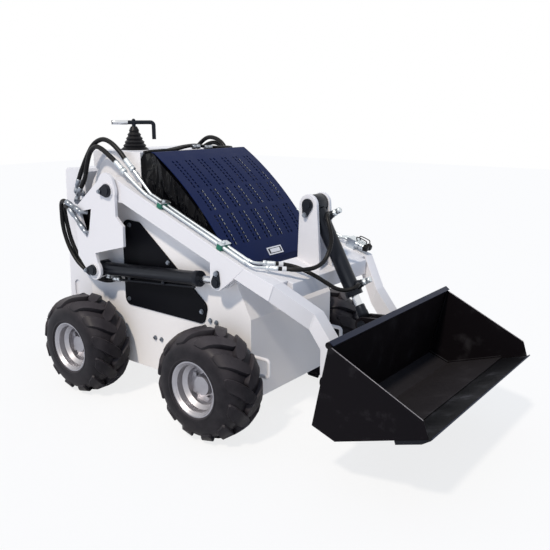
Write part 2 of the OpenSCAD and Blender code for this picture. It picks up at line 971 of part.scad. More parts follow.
placed() tub();
placed() rear_body();
placed() console();
placed() tower(-1);  // tower_right
placed() tower(1);  // tower_left
placed() hood();
placed() engine_block();
placed() engine_cowl();
placed() side_cover(-1);  // side_cover_right
placed() side_cover(1);  // side_cover_left
placed() joystick_boot();
placed() joystick_handle();
placed() foot_platform();
placed() tie_downs();
placed() axle(1, -1);  // axle_front_right
placed() axle(1, 1);  // axle_front_left
placed() axle(-1, -1);  // axle_rear_right
placed() axle(-1, 1);  // axle_rear_left
placed() pivot_pins();
placed() base_pins();
placed() tyre(1, -1);  // tyre_front_right
placed() tyre(1, 1);  // tyre_front_left
placed() tyre(-1, -1);  // tyre_rear_right
placed() tyre(-1, 1);  // tyre_rear_left
placed() rim(1, -1);  // rim_front_right
placed() rim(1, 1);  // rim_front_left
placed() rim(-1, -1);  // rim_rear_right
placed() rim(-1, 1);  // rim_rear_left
placed() arm(-1);  // arm_right
placed() arm(1);  // arm_left
placed() cross_beam();
placed() mast();
placed() mast_pin();
placed() rod_pin_heads();
placed() oil_tubes();
placed() couplers();
placed() lift_barrel(-1);  // lift_barrel_right
placed() lift_barrel(1);  // lift_barrel_left
placed() lift_rod(-1);  // lift_rod_right
placed() lift_rod(1);  // lift_rod_left
placed() tilt_barrel();
placed() tilt_rod();
placed() attach_plate();
placed() hinge_pins();
placed() bucket_shell();
placed() cutting_edge();
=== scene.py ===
"""Finishes, hoses, fittings and fastenings of a stand-on compact loader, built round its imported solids."""

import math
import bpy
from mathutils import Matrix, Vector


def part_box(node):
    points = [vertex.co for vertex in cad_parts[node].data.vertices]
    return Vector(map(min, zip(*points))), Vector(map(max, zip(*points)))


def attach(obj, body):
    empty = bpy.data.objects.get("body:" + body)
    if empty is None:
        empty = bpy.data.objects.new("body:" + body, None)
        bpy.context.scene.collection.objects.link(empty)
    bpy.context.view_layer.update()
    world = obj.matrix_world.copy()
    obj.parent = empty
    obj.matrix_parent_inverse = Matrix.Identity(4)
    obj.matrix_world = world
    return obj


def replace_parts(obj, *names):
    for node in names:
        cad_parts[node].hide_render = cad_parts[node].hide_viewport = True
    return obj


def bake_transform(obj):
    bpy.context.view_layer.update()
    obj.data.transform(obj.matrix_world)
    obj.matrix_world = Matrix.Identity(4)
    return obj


bl_info = {
    "name": "Compact Loader Looks",
    "version": (1, 0, 0),
    "blender": (4, 5, 0),
    "location": "View3D > Sidebar > Loader",
    "description": "Paints the loader and adds its hoses, fittings, bolts, welds and tread",
    "category": "Object",
}

import bmesh
import bpy
from mathutils import Matrix, Vector

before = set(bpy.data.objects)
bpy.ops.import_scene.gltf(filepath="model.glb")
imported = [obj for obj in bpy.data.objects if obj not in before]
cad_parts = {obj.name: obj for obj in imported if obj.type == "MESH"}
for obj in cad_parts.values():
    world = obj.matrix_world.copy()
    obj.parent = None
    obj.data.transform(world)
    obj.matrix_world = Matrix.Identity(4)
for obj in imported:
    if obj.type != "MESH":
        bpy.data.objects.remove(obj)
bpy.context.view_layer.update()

# Places in the side view from mid-wheelbase on the ground, and distances from the middle, in millimetres

MID_X = 234.5
ARM_PIVOT = (-209, 948)
LIFT_BASE = (-338, 579)
LIFT_EYE = (400, 630)
MAST_TOP = (618, 920)
TILT_EYE = (872, 467)
ARM_TOP_REAR = (-150, 984)
ARM_TOP_MID = (540, 706)
ARM_TOP_BEND = (681, 663)
ARM_LOW_BEND = (657, 599)
BEND_TOP = (799, 551)
BEND_LOW = (775, 487)
ARM_IN = 297
ARM_OUT = 357
JOG_OUT = 259
RETAINER_OUT = 392
LIFT_Y = 327
FRAME_HALF = 283
HOOD_TOP = (-4, 1114)
HOOD_LOW = (431, 685)
HOOD_R = 1400
TUBE_Y = (314, 340)
AXLE_X = 395
TYRE_R = 228.5

# Height of the oil tubes' middle lines above the arms, in metres
TUBE_RISE = 0.016

# Sides, as the sign of Y, and wheels. Columns of the wheels: x, side
SIDES = {"right": -1, "left": 1}
WHEELS = {
    "front_right": (AXLE_X, -1),
    "front_left": (AXLE_X, 1),
    "rear_right": (-AXLE_X, -1),
    "rear_left": (-AXLE_X, 1),
}


def at(x, y, z):
    """Point of the part's frame in metres, from millimetres measured at mid-wheelbase."""
    return Vector(((x - MID_X) / 1000, y / 1000, z / 1000))


def linear(code):
    """Linear colour with alpha from an sRGB hex code."""
    values = [int(code[i : i + 2], 16) / 255 for i in (1, 3, 5)]
    return [v / 12.92 if v <= 0.04045 else ((v + 0.055) / 1.055) ** 2.4 for v in values] + [1.0]


def add(tree, kind, inputs=None, **settings):
    """New node of a tree, with its settings, and its inputs set to values or linked to sockets."""
    node = tree.nodes.new(kind)
    for key, value in settings.items():
        setattr(node, key, value)
    for key, value in (inputs or {}).items():
        socket = node.inputs[key]
        if isinstance(value, bpy.types.NodeSocket):
            tree.links.new(value, socket)
        else:
            socket.default_value = value
    return node


# Sizes and colours that a user would change


class LoaderSizes(bpy.types.PropertyGroup):
    """Sizes of the hoses, tubes and fastenings."""

    lift_hose: bpy.props.FloatProperty(
        name="Lift hose", description="Outer diameter of the lift hoses", default=0.021, unit="LENGTH"
    )
    tilt_hose: bpy.props.FloatProperty(
        name="Tilt hose", description="Outer diameter of the tilt hoses", default=0.0165, unit="LENGTH"
    )
    tube: bpy.props.FloatProperty(
        name="Oil tube", description="Outer diameter of the steel oil tubes", default=0.014, unit="LENGTH"
    )
    bolt: bpy.props.FloatProperty(
        name="Bolt", description="Width across the corners of a bolt's head", default=0.016, unit="LENGTH"
    )
    weld: bpy.props.FloatProperty(
        name="Weld", description="Width of a weld bead", default=0.009, unit="LENGTH"
    )
    edge: bpy.props.FloatProperty(
        name="Edge", description="Width of the rounding on cut plate edges", default=0.0025, unit="LENGTH"
    )


class LoaderColours(bpy.types.PropertyGroup):
    """Colours of the finishes."""

    white: bpy.props.FloatVectorProperty(
        name="White", description="Frame, towers and arms", subtype="COLOR", size=4, default=linear("#e6e4e5")
    )
    navy: bpy.props.FloatVectorProperty(
        name="Navy", description="Hood", subtype="COLOR", size=4, default=linear("#121f46")
    )
    black: bpy.props.FloatVectorProperty(
        name="Black", description="Covers and cylinders", subtype="COLOR", size=4, default=linear("#0a0b10")
    )
    clamp: bpy.props.FloatVectorProperty(
        name="Clamp", description="Tube clamps", subtype="COLOR", size=4, default=linear("#1f6b55")
    )


# Materials


def new_material(name, **values):
    """Material with one principled shader whose constant sockets are set, its tree and the shader."""
    material = bpy.data.materials.new(name)
    material.use_nodes = True
    tree = material.node_tree
    tree.nodes.clear()
    shader = add(tree, "ShaderNodeBsdfPrincipled")
    for key, value in values.items():
        shader.inputs[key.replace("_", " ")].default_value = value
    add(tree, "ShaderNodeOutputMaterial", {"Surface": shader.outputs["BSDF"]})
    return material, tree, shader


def object_place(tree):
    """Place of a shaded point in its object."""
    return add(tree, "ShaderNodeTexCoord").outputs["Object"]


def noise(tree, place, **inputs):
    """Cloudy values at a place."""
    return add(tree, "ShaderNodeTexNoise", {"Vector": place, **inputs}).outputs["Fac"]


def ranged(tree, value, low, high, start, end):
    """Value taken from the range low to high onto the range start to end."""
    inputs = {"Value": value, "From Min": low, "From Max": high, "To Min": start, "To Max": end}
    return add(tree, "ShaderNodeMapRange", inputs).outputs["Result"]


def combined(tree, operation, a, b):
    """Two values put together by one operation."""
    return add(tree, "ShaderNodeMath", {0: a, 1: b}, operation=operation).outputs["Value"]


def paler_facing_up(tree, normal, low, high, share):
    """Share of a paler colour on faces that look up, growing as they face further up."""
    facing = add(tree, "ShaderNodeSeparateXYZ", {"Vector": normal})
    return ranged(tree, facing.outputs["Z"], low, high, 0.0, share)


def varied_gloss(tree, value, rough, spread):
    """Roughness that rises with a cloudy value."""
    return ranged(tree, value, 0.3, 0.7, rough, rough + spread)


def bump_skin(tree, shader, height, strength, depth):
    """Fine relief on a shader."""
    bump = add(tree, "ShaderNodeBump", {"Height": height, "Strength": strength, "Distance": depth})
    tree.links.new(bump.outputs["Normal"], shader.inputs["Normal"])


def colour_skin(tree, shader, share, colour, other, gloss):
    """Colour of a shader, mixed with another one by a share, and its roughness."""
    tone = add(tree, "ShaderNodeMix", {"Factor": share, "A": colour, "B": other}, data_type="RGBA")
    tree.links.new(tone.outputs["Result"], shader.inputs["Base Color"])
    tree.links.new(gloss, shader.inputs["Roughness"])


def powder_coat(name, colour, dust, rough, peel_mm=2.2, shine=0.4):
    """Powder-coated steel: an even skin with a fine orange peel, dull patches and dust near the ground."""
    material, tree, shader = new_material(name, Metallic=0.0, Specular_IOR_Level=shine)
    place = object_place(tree)
    peel = noise(tree, place, Scale=1000 / peel_mm, Detail=1.5)
    patch = noise(tree, place, Scale=7.0, Detail=5.0, Roughness=0.6)
    height = add(tree, "ShaderNodeSeparateXYZ", {"Vector": place}).outputs["Z"]
    low = ranged(tree, height, 0.12, 0.5, 0.14, 0.0)
    share = combined(tree, "MULTIPLY", low, patch)
    colour_skin(tree, shader, share, colour, dust, varied_gloss(tree, patch, rough, 0.12))
    bump_skin(tree, shader, peel, 0.12, 0.0002)
    return material


def worn_paint(name, colour, metal, rough, wear, shine=0.3, upward_share=0.0):
    """Enamel on plate that digs: long scuffs show brighter steel through the paint, and faces that look up
    take a paler colour. Its specular is tinted blue, a painted reflection of a blue sky.
    """
    # Blue tint of the specular: a painted reflection of a blue sky on the enamel
    sky = (0.72, 0.82, 1.0, 1.0)
    material, tree, shader = new_material(name, Specular_IOR_Level=shine, Specular_Tint=sky)
    place = object_place(tree)
    drawn = add(tree, "ShaderNodeMapping", {"Vector": place, "Scale": (9.0, 110.0, 9.0)}).outputs["Vector"]
    streak = noise(tree, drawn, Scale=1.6, Detail=6.0, Roughness=0.65)
    patch = noise(tree, place, Scale=11.0, Detail=4.0)
    both = combined(tree, "MULTIPLY", streak, patch)
    scuff = ranged(tree, both, 0.30, 0.46, 0.0, wear)
    facing_up = paler_facing_up(tree, add(tree, "ShaderNodeTexCoord").outputs["Normal"], 0.5, 0.95, upward_share)
    share = combined(tree, "ADD", scuff, facing_up)
    colour_skin(tree, shader, share, colour, metal, varied_gloss(tree, patch, rough, 0.16))
    bump_skin(tree, shader, both, 0.1, 0.0006)
    return material


def plated_steel(name, colour, dull, rough, grain_mm):
    """Zinc-plated or silver-lacquered steel: a bright grey metal, cloudy, with a fine grain in its gloss."""
    material, tree, shader = new_material(name, Metallic=1.0)
    place = object_place(tree)
    grain = noise(tree, place, Scale=1000 / grain_mm, Detail=3.0)
    cloud = noise(tree, place, Scale=28.0, Detail=3.0)
    colour_skin(tree, shader, cloud, colour, dull, varied_gloss(tree, grain, rough, 0.14))
    bump_skin(tree, shader, grain, 0.06, 0.0002)
    return material


def moulded_rubber(name, colour, dust, rough, grain_mm, dusty, shine=0.3, upward_share=0.0):
    """Moulded rubber or plastic: a matt skin with a fine grain, paler in random dusty patches and on faces
    that look up.
    """
    material, tree, shader = new_material(name, Specular_IOR_Level=shine)
    place = object_place(tree)
    grain = noise(tree, place, Scale=1000 / grain_mm, Detail=4.0)
    patch = noise(tree, place, Scale=16.0, Detail=5.0, Roughness=0.65)
    spread = ranged(tree, patch, 0.35, 0.75, 0.0, dusty)
    facing_up = paler_facing_up(tree, add(tree, "ShaderNodeNewGeometry").outputs["Normal"], 0.1, 0.9, upward_share)
    share = combined(tree, "ADD", spread, facing_up)
    colour_skin(tree, shader, share, colour, dust, varied_gloss(tree, patch, rough, 0.15))
    bump_skin(tree, shader, grain, 0.25, 0.0004)
    return material


def wrinkled_sheet(name, colour, rough, fold_mm):
    """Thin black sheet pulled over the engine: smooth and shiny, with soft folds that catch the light."""
    material, tree, shader = new_material(name, Roughness=rough, Specular_IOR_Level=0.09)
    shader.inputs["Base Color"].default_value = colour
    pull = add(
        tree,
        "ShaderNodeMapping",
        {"Vector": object_place(tree), "Rotation": (0.0, 0.6, 0.0), "Scale": (1.0, 1.0, 0.35)},
    )
    fold = noise(tree, pull.outputs["Vector"], Scale=1000 / fold_mm, Detail=2.0, Distortion=0.8)
    bump_skin(tree, shader, fold, 1.0, 0.05)
    return material


def make_finishes():
    """Every material of the loader, by a short key."""
    colours = bpy.context.scene.loader_colours
    black = list(colours.black)
    return {
        "white": powder_coat("white_powder_coat", list(colours.white), linear("#b9b4ab"), 0.34),
        # Lighter copy of the white paint for the tub: painted light that makes up for the shade it gets low
        # between the wheels
        "white_lifted_for_shade": powder_coat("white_powder_coat_lifted_for_shade", linear("#f3efec"), linear("#b9b4ab"), 0.34),
        "navy": powder_coat("navy_powder_coat", list(colours.navy), linear("#252d42"), 0.4, 1.8, 0.08),
        "black": powder_coat("black_powder_coat", black, linear("#1b1a1a"), 0.38, 2.2, 0.07),
        "enamel": worn_paint("black_enamel", black, linear("#22232a"), 0.3, 0.35, 0.3),
        "bucket": worn_paint(
            "black_bucket_enamel", linear("#131012"), linear("#3a383a"), 0.34, 0.5, 0.05, 0.45
        ),
        "edge": worn_paint("worn_edge_steel", linear("#101012"), linear("#46464b"), 0.36, 0.9, 0.2),
        # Blue-black enamel of the bucket's top lip and cutting-edge tip: its blue is a painted sheen of sky
        "lip": worn_paint("black_enamel_painted_blue_sheen", linear("#12172b"), linear("#2b3046"), 0.3, 0.4, 0.2),
        "rubbed": plated_steel("rubbed_edge_steel", linear("#6a6a70"), linear("#4a4a50"), 0.36, 0.8),
        "zinc": plated_steel("zinc_plated_steel", linear("#dfe5e8"), linear("#c3cbd2"), 0.3, 0.6),
        "fitting": plated_steel("passivated_fitting_steel", linear("#a4aab2"), linear("#7d848e"), 0.3, 0.6),
        "rim": plated_steel("silver_lacquered_steel", linear("#b9b8bc"), linear("#a2a1a7"), 0.36, 0.9),
        "chrome": plated_steel("hard_chrome", linear("#dfe1e4"), linear("#d2d5d9"), 0.07, 0.5),
        "tyre": moulded_rubber(
            "tyre_rubber", linear("#171519"), linear("#464245"), 0.36, 1.4, 0.3, 0.14, 0.7
        ),
        "hose": moulded_rubber("hose_rubber", linear("#08080a"), linear("#18181a"), 0.32, 0.9, 0.3, 0.2),
        "boot": moulded_rubber("boot_rubber", linear("#0a0a0e"), linear("#191920"), 0.4, 1.0, 0.4, 0.2),
        "cast": moulded_rubber("black_cast_iron", linear("#09090b"), linear("#171719"), 0.42, 2.0, 0.6, 0.12),
        "sheet": wrinkled_sheet("black_vinyl_sheet", linear("#08080b"), 0.16, 64),
        "clamp": moulded_rubber("green_polypropylene", list(colours.clamp), linear("#2c8068"), 0.4, 0.8, 0.5),
        "band": moulded_rubber("white_sleeve", linear("#e2e2e2"), linear("#c4c4c4"), 0.5, 0.8, 0.3),
        "plate": plated_steel("blank_aluminium_plate", linear("#d6d9e2"), linear("#c2c6d2"), 0.3, 0.4),
    }


FINISH = {}

# Shapes


def piece(name, mesh, body, finish):
    """Object at the origin for a finished mesh, riding on a body with its finish."""
    obj = bpy.data.objects.new(name, mesh)
    bpy.context.scene.collection.objects.link(obj)
    if not mesh.materials:
        mesh.materials.append(FINISH[finish])
    if body:
        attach(obj, body)
    return obj


def smooth_route(points, steps=7):
    """Points of one smooth line through the given points."""
    ends = [points[0] * 2 - points[1], *points, points[-1] * 2 - points[-2]]
    line = []
    for a, b, c, d in zip(ends, ends[1:], ends[2:], ends[3:]):
        for i in range(steps):
            t = i / steps
            bend = (2 * a - 5 * b + 4 * c - d) * t * t
            swing = (3 * b - a - 3 * c + d) * t * t * t
            line.append(0.5 * (2 * b + (c - a) * t + bend + swing))
    line.append(points[-1].copy())
    return line


def interface(tree, name, kind, default=None, out=False):
    """New named socket of a node tree."""
    socket = tree.interface.new_socket(name=name, in_out="OUTPUT" if out else "INPUT", socket_type=kind)
    if default is not None:
        socket.default_value = default
    return socket


def new_tree(name, **inputs):
    """Geometry tree with its own inputs beside geometry and material, and its input node.

    Values of the inputs: kind of socket, default.
    """
    tree = bpy.data.node_groups.new(name, "GeometryNodeTree")
    interface(tree, "Geometry", "NodeSocketGeometry")
    for key, (kind, default) in inputs.items():
        interface(tree, key, kind, default)
    interface(tree, "Material", "NodeSocketMaterial")
    interface(tree, "Geometry", "NodeSocketGeometry", out=True)
    return tree, add(tree, "NodeGroupInput")


def close_tree(tree, start, geometry):
    """End of a tree: real geometry in the tree's material."""
    real = add(tree, "GeometryNodeRealizeInstances", {"Geometry": geometry})
    painted = add(
        tree,
        "GeometryNodeSetMaterial",
        {"Geometry": real.outputs["Geometry"], "Material": start.outputs["Material"]},
    )
    add(tree, "NodeGroupOutput", {"Geometry": painted.outputs["Geometry"]})
    return tree


def set_copies(tree, start, copy, rotation):
    """Copies of a geometry on the tree's points."""
    inputs = {"Points": start.outputs["Geometry"], "Instance": copy, "Rotation": rotation}
    return add(tree, "GeometryNodeInstanceOnPoints", inputs).outputs["Instances"]


def point_vector(tree, name):
    """Vector that each point carries under a name."""
    node = add(tree, "GeometryNodeInputNamedAttribute", {"Name": name}, data_type="FLOAT_VECTOR")
    return node.outputs["Attribute"]


def prism(tree, sides, radius, depth):
    """Upright prism."""
    inputs = {"Vertices": sides, "Radius Top": radius, "Radius Bottom": radius, "Depth": depth}
    return add(tree, "GeometryNodeMeshCone", inputs).outputs["Mesh"]


def make_sweep_tree():
    """Node tree that sweeps a round section along a curve."""
    tree, start = new_tree("Round sweep", Radius=("NodeSocketFloat", 0.01), Facets=("NodeSocketInt", 12))
    section = add(
        tree,
        "GeometryNodeCurvePrimitiveCircle",
        {"Resolution": start.outputs["Facets"], "Radius": start.outputs["Radius"]},
    )
    swept = add(
        tree,
        "GeometryNodeCurveToMesh",
        {"Curve": start.outputs["Geometry"], "Profile Curve": section.outputs["Curve"], "Fill Caps": True},
    )
    smooth = add(tree, "GeometryNodeSetShadeSmooth", {"Geometry": swept.outputs["Mesh"]})
    return close_tree(tree, start, smooth.outputs["Geometry"])


def make_bolt_tree():
    """Node tree that sets a hexagon bolt head with its washer on each point, facing the point's direction."""
    tree, start = new_tree("Bolt field", Width=("NodeSocketFloat", 0.019))
    shares = (0.5, 0.38, 0.66, 0.12)
    half, tall, wide, thin = [combined(tree, "MULTIPLY", start.outputs["Width"], share) for share in shares]
    lift = add(tree, "ShaderNodeCombineXYZ", {"Z": thin})
    raised = add(
        tree,
        "GeometryNodeTransform",
        {"Geometry": prism(tree, 6, half, tall), "Translation": lift.outputs["Vector"]},
    )
    bolt = add(tree, "GeometryNodeJoinGeometry")
    tree.links.new(raised.outputs["Geometry"], bolt.inputs["Geometry"])
    tree.links.new(prism(tree, 14, wide, thin), bolt.inputs["Geometry"])
    turn = add(tree, "FunctionNodeAlignRotationToVector", {"Vector": point_vector(tree, "facing")}, axis="Z")
    placed = set_copies(tree, start, bolt.outputs["Geometry"], turn.outputs["Rotation"])
    return close_tree(tree, start, placed)


def make_tread_tree():
    """Node tree that lays low raised bars on a flat step, turned by each point's own angles."""
    tree, start = new_tree("Step tread", Bar=("NodeSocketVector", (0.026, 0.007, 0.002)))
    ball = add(tree, "GeometryNodeMeshIcoSphere", {"Radius": 0.5, "Subdivisions": 2})
    size = start.outputs["Bar"]
    bar = add(tree, "GeometryNodeTransform", {"Geometry": ball.outputs["Mesh"], "Scale": size})
    placed = set_copies(tree, start, bar.outputs["Geometry"], point_vector(tree, "turned"))
    return close_tree(tree, start, placed)


def make_ring_tree():
    """Node tree that sets a copy of an object on each point, turned by the point's own angles."""
    tree, start = new_tree("Ring", Copy=("NodeSocketObject", None))
    copy = add(tree, "GeometryNodeObjectInfo", {"Object": start.outputs["Copy"]})
    placed = set_copies(tree, start, copy.outputs["Geometry"], point_vector(tree, "turned"))
    return close_tree(tree, start, placed)


TREES = {}


def grown(data, tree, values):
    """Plain mesh that a node tree makes of a curve or a mesh, with the tree's named inputs set."""
    source = bpy.data.objects.new("source", data)
    bpy.context.scene.collection.objects.link(source)
    modifier = source.modifiers.new("nodes", "NODES")
    modifier.node_group = tree
    for item in tree.interface.items_tree:
        if item.in_out == "INPUT" and item.name in values:
            modifier[item.identifier] = values[item.name]
    bpy.context.view_layer.update()
    ready = source.evaluated_get(bpy.context.evaluated_depsgraph_get())
    mesh = bpy.data.meshes.new_from_object(ready)
    source.modifiers.clear()
    bpy.data.objects.remove(source)
    return mesh


def points_with(name, places, key, vectors):
    """Mesh of loose points that each carry a vector under a name."""
    mesh = bpy.data.meshes.new(name)
    mesh.from_pydata([tuple(place) for place in places], [], [])
    carried = mesh.attributes.new(key, "FLOAT_VECTOR", "POINT")
    for row, vector in zip(carried.data, vectors):
        row.vector = vector
    return mesh


def shade(shape, degrees):
    """Smooth faces, with sharp edges above an angle and at open rims."""
    for face in shape.faces:
        face.smooth = True
    for edge in shape.edges:
        edge.smooth = len(edge.link_faces) == 2 and edge.calc_face_angle() < math.radians(degrees)


def bridge(shape, rings):
    """Faces between each ring of vertices and the next one."""
    for low, high in rings:
        for k in range(len(low)):
            n = (k + 1) % len(low)
            shape.faces.new((low[k], low[n], high[n], high[k]))


def as_mesh(name, shape):
    """Mesh made of a finished shape, which is used up."""
    mesh = bpy.data.meshes.new(name)
    shape.to_mesh(mesh)
    shape.free()
    return mesh


def sweep(name, points, radius, body, finish, slot, facets=14, smooth=True):
    """Round bar, tube or hose along a route."""
    line = smooth_route(points) if smooth else points
    curve = bpy.data.curves.new(name, "CURVE")
    curve.dimensions = "3D"
    spline = curve.splines.new("POLY")
    spline.points.add(len(line) - 1)
    for point, place in zip(spline.points, line):
        point.co = (*place, 1.0)
    mesh = grown(curve, TREES["sweep"], {"Radius": radius, "Facets": facets, "Material": FINISH[finish]})
    mesh.name = name
    return piece(name, mesh, body, finish)


def turning(name, start, end, profile, body, finish, slot, facets=24, hollow=False):
    """Turned piece along the line from start to end. Profile columns: share of the length, radius in mm.

    A hollow piece has its last ring joined to its first one, a solid piece has flat ends.
    """
    axis = end - start
    turn = axis.to_track_quat("Z", "Y").to_matrix()
    shape = bmesh.new()
    rings = []
    for share, radius in profile:
        ring = []
        for k in range(facets):
            a = 2 * math.pi * k / facets
            spot = Vector((math.cos(a) * radius / 1000, math.sin(a) * radius / 1000, share * axis.length))
            ring.append(shape.verts.new(start + turn @ spot))
        rings.append(ring)
    bridge(shape, zip(rings, rings[1:] + rings[:1] if hollow else rings[1:]))
    if not hollow:
        shape.faces.new(rings[0][::-1])
        shape.faces.new(rings[-1])
    shade(shape, 32)
    return piece(name, as_mesh(name, shape), body, finish)


def block(name, centre, size, body, finish, slot, turn=None, round_mm=3):
    """Rounded block of a size in millimetres, turned about its centre."""
    shape = bmesh.new()
    bmesh.ops.create_cube(shape, size=1.0)
    scale = Matrix.Diagonal((size[0] / 1000, size[1] / 1000, size[2] / 1000, 1.0))
    bmesh.ops.transform(shape, matrix=scale, verts=shape.verts)
    bmesh.ops.bevel(
        shape, geom=shape.edges[:], offset=round_mm / 1000, segments=2, affect="EDGES", profile=0.5
    )
    place = Matrix.Translation(centre) @ (turn.to_4x4() if turn else Matrix.Identity(4))
    bmesh.ops.transform(shape, matrix=place, verts=shape.verts)
    return piece(name, as_mesh(name, shape), body, finish)


def join(name, parts):
    """One piece made of several that ride on the same body."""
    target = parts[0]
    shape = bmesh.new()
    materials = []
    for part in parts:
        offset = {}
        for i, material in enumerate(part.data.materials):
            if material not in materials:
                materials.append(material)
            offset[i] = materials.index(material)
        before = len(shape.faces)
        shape.from_mesh(part.data)
        shape.faces.ensure_lookup_table()
        for face in shape.faces[before:]:
            face.material_index = offset.get(face.material_index, 0)
    mesh = as_mesh(name, shape)
    for material in materials:
        mesh.materials.append(material)
    for part in parts[1:]:
        bpy.data.objects.remove(part)
    target.data = mesh
    target.name = name
    return target


def bolts(name, places, width, body, finish="zinc"):
    """Bolt heads. Place columns: point, direction that the head faces."""
    spots, directions = zip(*places)
    mesh = points_with(name, spots, "facing", directions)
    made = grown(mesh, TREES["bolt"], {"Width": width, "Material": FINISH[finish]})
    made.name = name
    return piece(name, made, body, finish)


def between(p, q, t):
    """Point of the side view at a distance from p towards q."""
    length = math.hypot(q[0] - p[0], q[1] - p[1])
    return (p[0] + (q[0] - p[0]) / length * t, p[1] + (q[1] - p[1]) / length * t)


def side_turn(p, q):
    """Rotation whose X runs along a side-view line and whose Z stands off it."""
    return Matrix.Rotation(-math.atan2(q[1] - p[1], q[0] - p[0]), 3, "Y")


def beside(place, side, rows):
    """Points off a place of the side view. Columns: forward, distance from the loader's middle, upward."""
    return [at(place[0] + dx, side * y, place[1] + dz) for dx, y, dz in rows]


# Crimped hose end. Columns: share of the length, radius
FERRULE = [
    (0, 8), (0.03, 11.5), (0.2, 12.5), (0.24, 11.2), (0.4, 12.5), (0.44, 11.2), (0.6, 12.5), (0.65, 11),
    (0.72, 11), (0.73, 14), (0.95, 14), (1, 12),
]


# Operators


class LOADER_OT_stage(bpy.types.Operator):
    """Camera, lights, sky and floor"""

    bl_idname = "loader.stage"
    bl_label = "Stage"

    LENS_MM = 43.53
    SENSOR_MM = 36
    CLIP_NEAR = 0.05
    CAMERA_AT = (1.8934, -2.197, 1.2736)
    CAMERA_RIGHT = (0.788, 0.6157, 0.0)
    CAMERA_AHEAD = (-0.598, 0.7656, -0.2368)
    SUN_FROM = (0.08, -0.62, 0.78)
    SUN_POWER = 2.32
    SUN_DEGREES = 5
    SUN_COLOUR = (1.0, 0.91, 0.8)
    SKY_COLOUR = "#c8deff"
    SKY_POWER = 0.58
    PLAIN_WHITE = (1, 1, 1, 1)
    FLOOR_COLOUR = "#f4f4f4"
    FLOOR_HALF = 14
    FLOOR_Z = -0.001
    # Share of plain white in the floor that the camera sees
    FLOOR_GLOW = 0.8

    def set_camera(self, scene):
        """Camera fitted to the photograph's view."""
        camera = bpy.data.objects.new("camera", bpy.data.cameras.new("camera"))
        scene.collection.objects.link(camera)
        camera.data.sensor_width = self.SENSOR_MM
        camera.data.lens = self.LENS_MM
        camera.data.clip_start = self.CLIP_NEAR
        right = Vector(self.CAMERA_RIGHT).normalized()
        ahead = Vector(self.CAMERA_AHEAD).normalized()
        up = right.cross(ahead)
        turn = Matrix((right, up, -ahead)).transposed()
        camera.matrix_world = Matrix.Translation(self.CAMERA_AT) @ turn.to_4x4()
        scene.camera = camera

    def set_sun(self, scene):
        """Warm sun from above the right side."""
        key = bpy.data.objects.new("key", bpy.data.lights.new("key", "SUN"))
        key.data.energy = self.SUN_POWER
        key.data.angle = math.radians(self.SUN_DEGREES)
        key.data.color = self.SUN_COLOUR
        key.matrix_world = Vector(self.SUN_FROM).to_track_quat("Z", "Y").to_matrix().to_4x4()
        scene.collection.objects.link(key)

    def set_sky(self, scene):
        """Bluish fill, seen as plain white by the camera and in reflections."""
        world = bpy.data.worlds.new("sky")
        scene.world = world
        world.use_nodes = True
        tree = world.node_tree
        tree.nodes.clear()
        path = add(tree, "ShaderNodeLightPath").outputs
        seen = combined(tree, "MAXIMUM", path["Is Camera Ray"], path["Is Transmission Ray"])
        bright = combined(tree, "MAXIMUM", seen, path["Is Glossy Ray"])
        fill = add(
            tree, "ShaderNodeBackground", {"Color": linear(self.SKY_COLOUR), "Strength": self.SKY_POWER}
        )
        white = add(tree, "ShaderNodeBackground", {"Color": self.PLAIN_WHITE, "Strength": 1.0})
        mixed = add(
            tree,
            "ShaderNodeMixShader",
            {"Fac": bright, 1: fill.outputs["Background"], 2: white.outputs["Background"]},
        )
        add(tree, "ShaderNodeOutputWorld", {"Surface": mixed.outputs["Shader"]})

    def set_floor(self, scene):
        """Pale floor that takes soft shadows."""
        far, z = self.FLOOR_HALF, self.FLOOR_Z
        floor_mesh = bpy.data.meshes.new("floor")
        floor_mesh.from_pydata(
            [(-far, -far, z), (far, -far, z), (far, far, z), (-far, far, z)], [], [(0, 1, 2, 3)]
        )
        floor = bpy.data.objects.new("floor", floor_mesh)
        scene.collection.objects.link(floor)
        material = bpy.data.materials.new("pale_floor")
        material.use_nodes = True
        tree = material.node_tree
        tree.nodes.clear()
        path = add(tree, "ShaderNodeLightPath").outputs
        matt = add(tree, "ShaderNodeBsdfDiffuse", {"Color": linear(self.FLOOR_COLOUR)})
        glow = add(tree, "ShaderNodeEmission", {"Color": self.PLAIN_WHITE, "Strength": 1.0})
        share = combined(tree, "MULTIPLY", path["Is Camera Ray"], self.FLOOR_GLOW)
        mixed = add(
            tree,
            "ShaderNodeMixShader",
            {"Fac": share, 1: matt.outputs["BSDF"], 2: glow.outputs["Emission"]},
        )
        add(tree, "ShaderNodeOutputMaterial", {"Surface": mixed.outputs["Shader"]})
        floor_mesh.materials.append(material)

    def execute(self, context):
        scene = context.scene
        scene.view_settings.view_transform = "Standard"
        self.set_camera(scene)
        self.set_sun(scene)
        self.set_sky(scene)
        self.set_floor(scene)
        return {"FINISHED"}


# Finish of each solid. Columns: finish, rounding as a share of the edge size, nodes

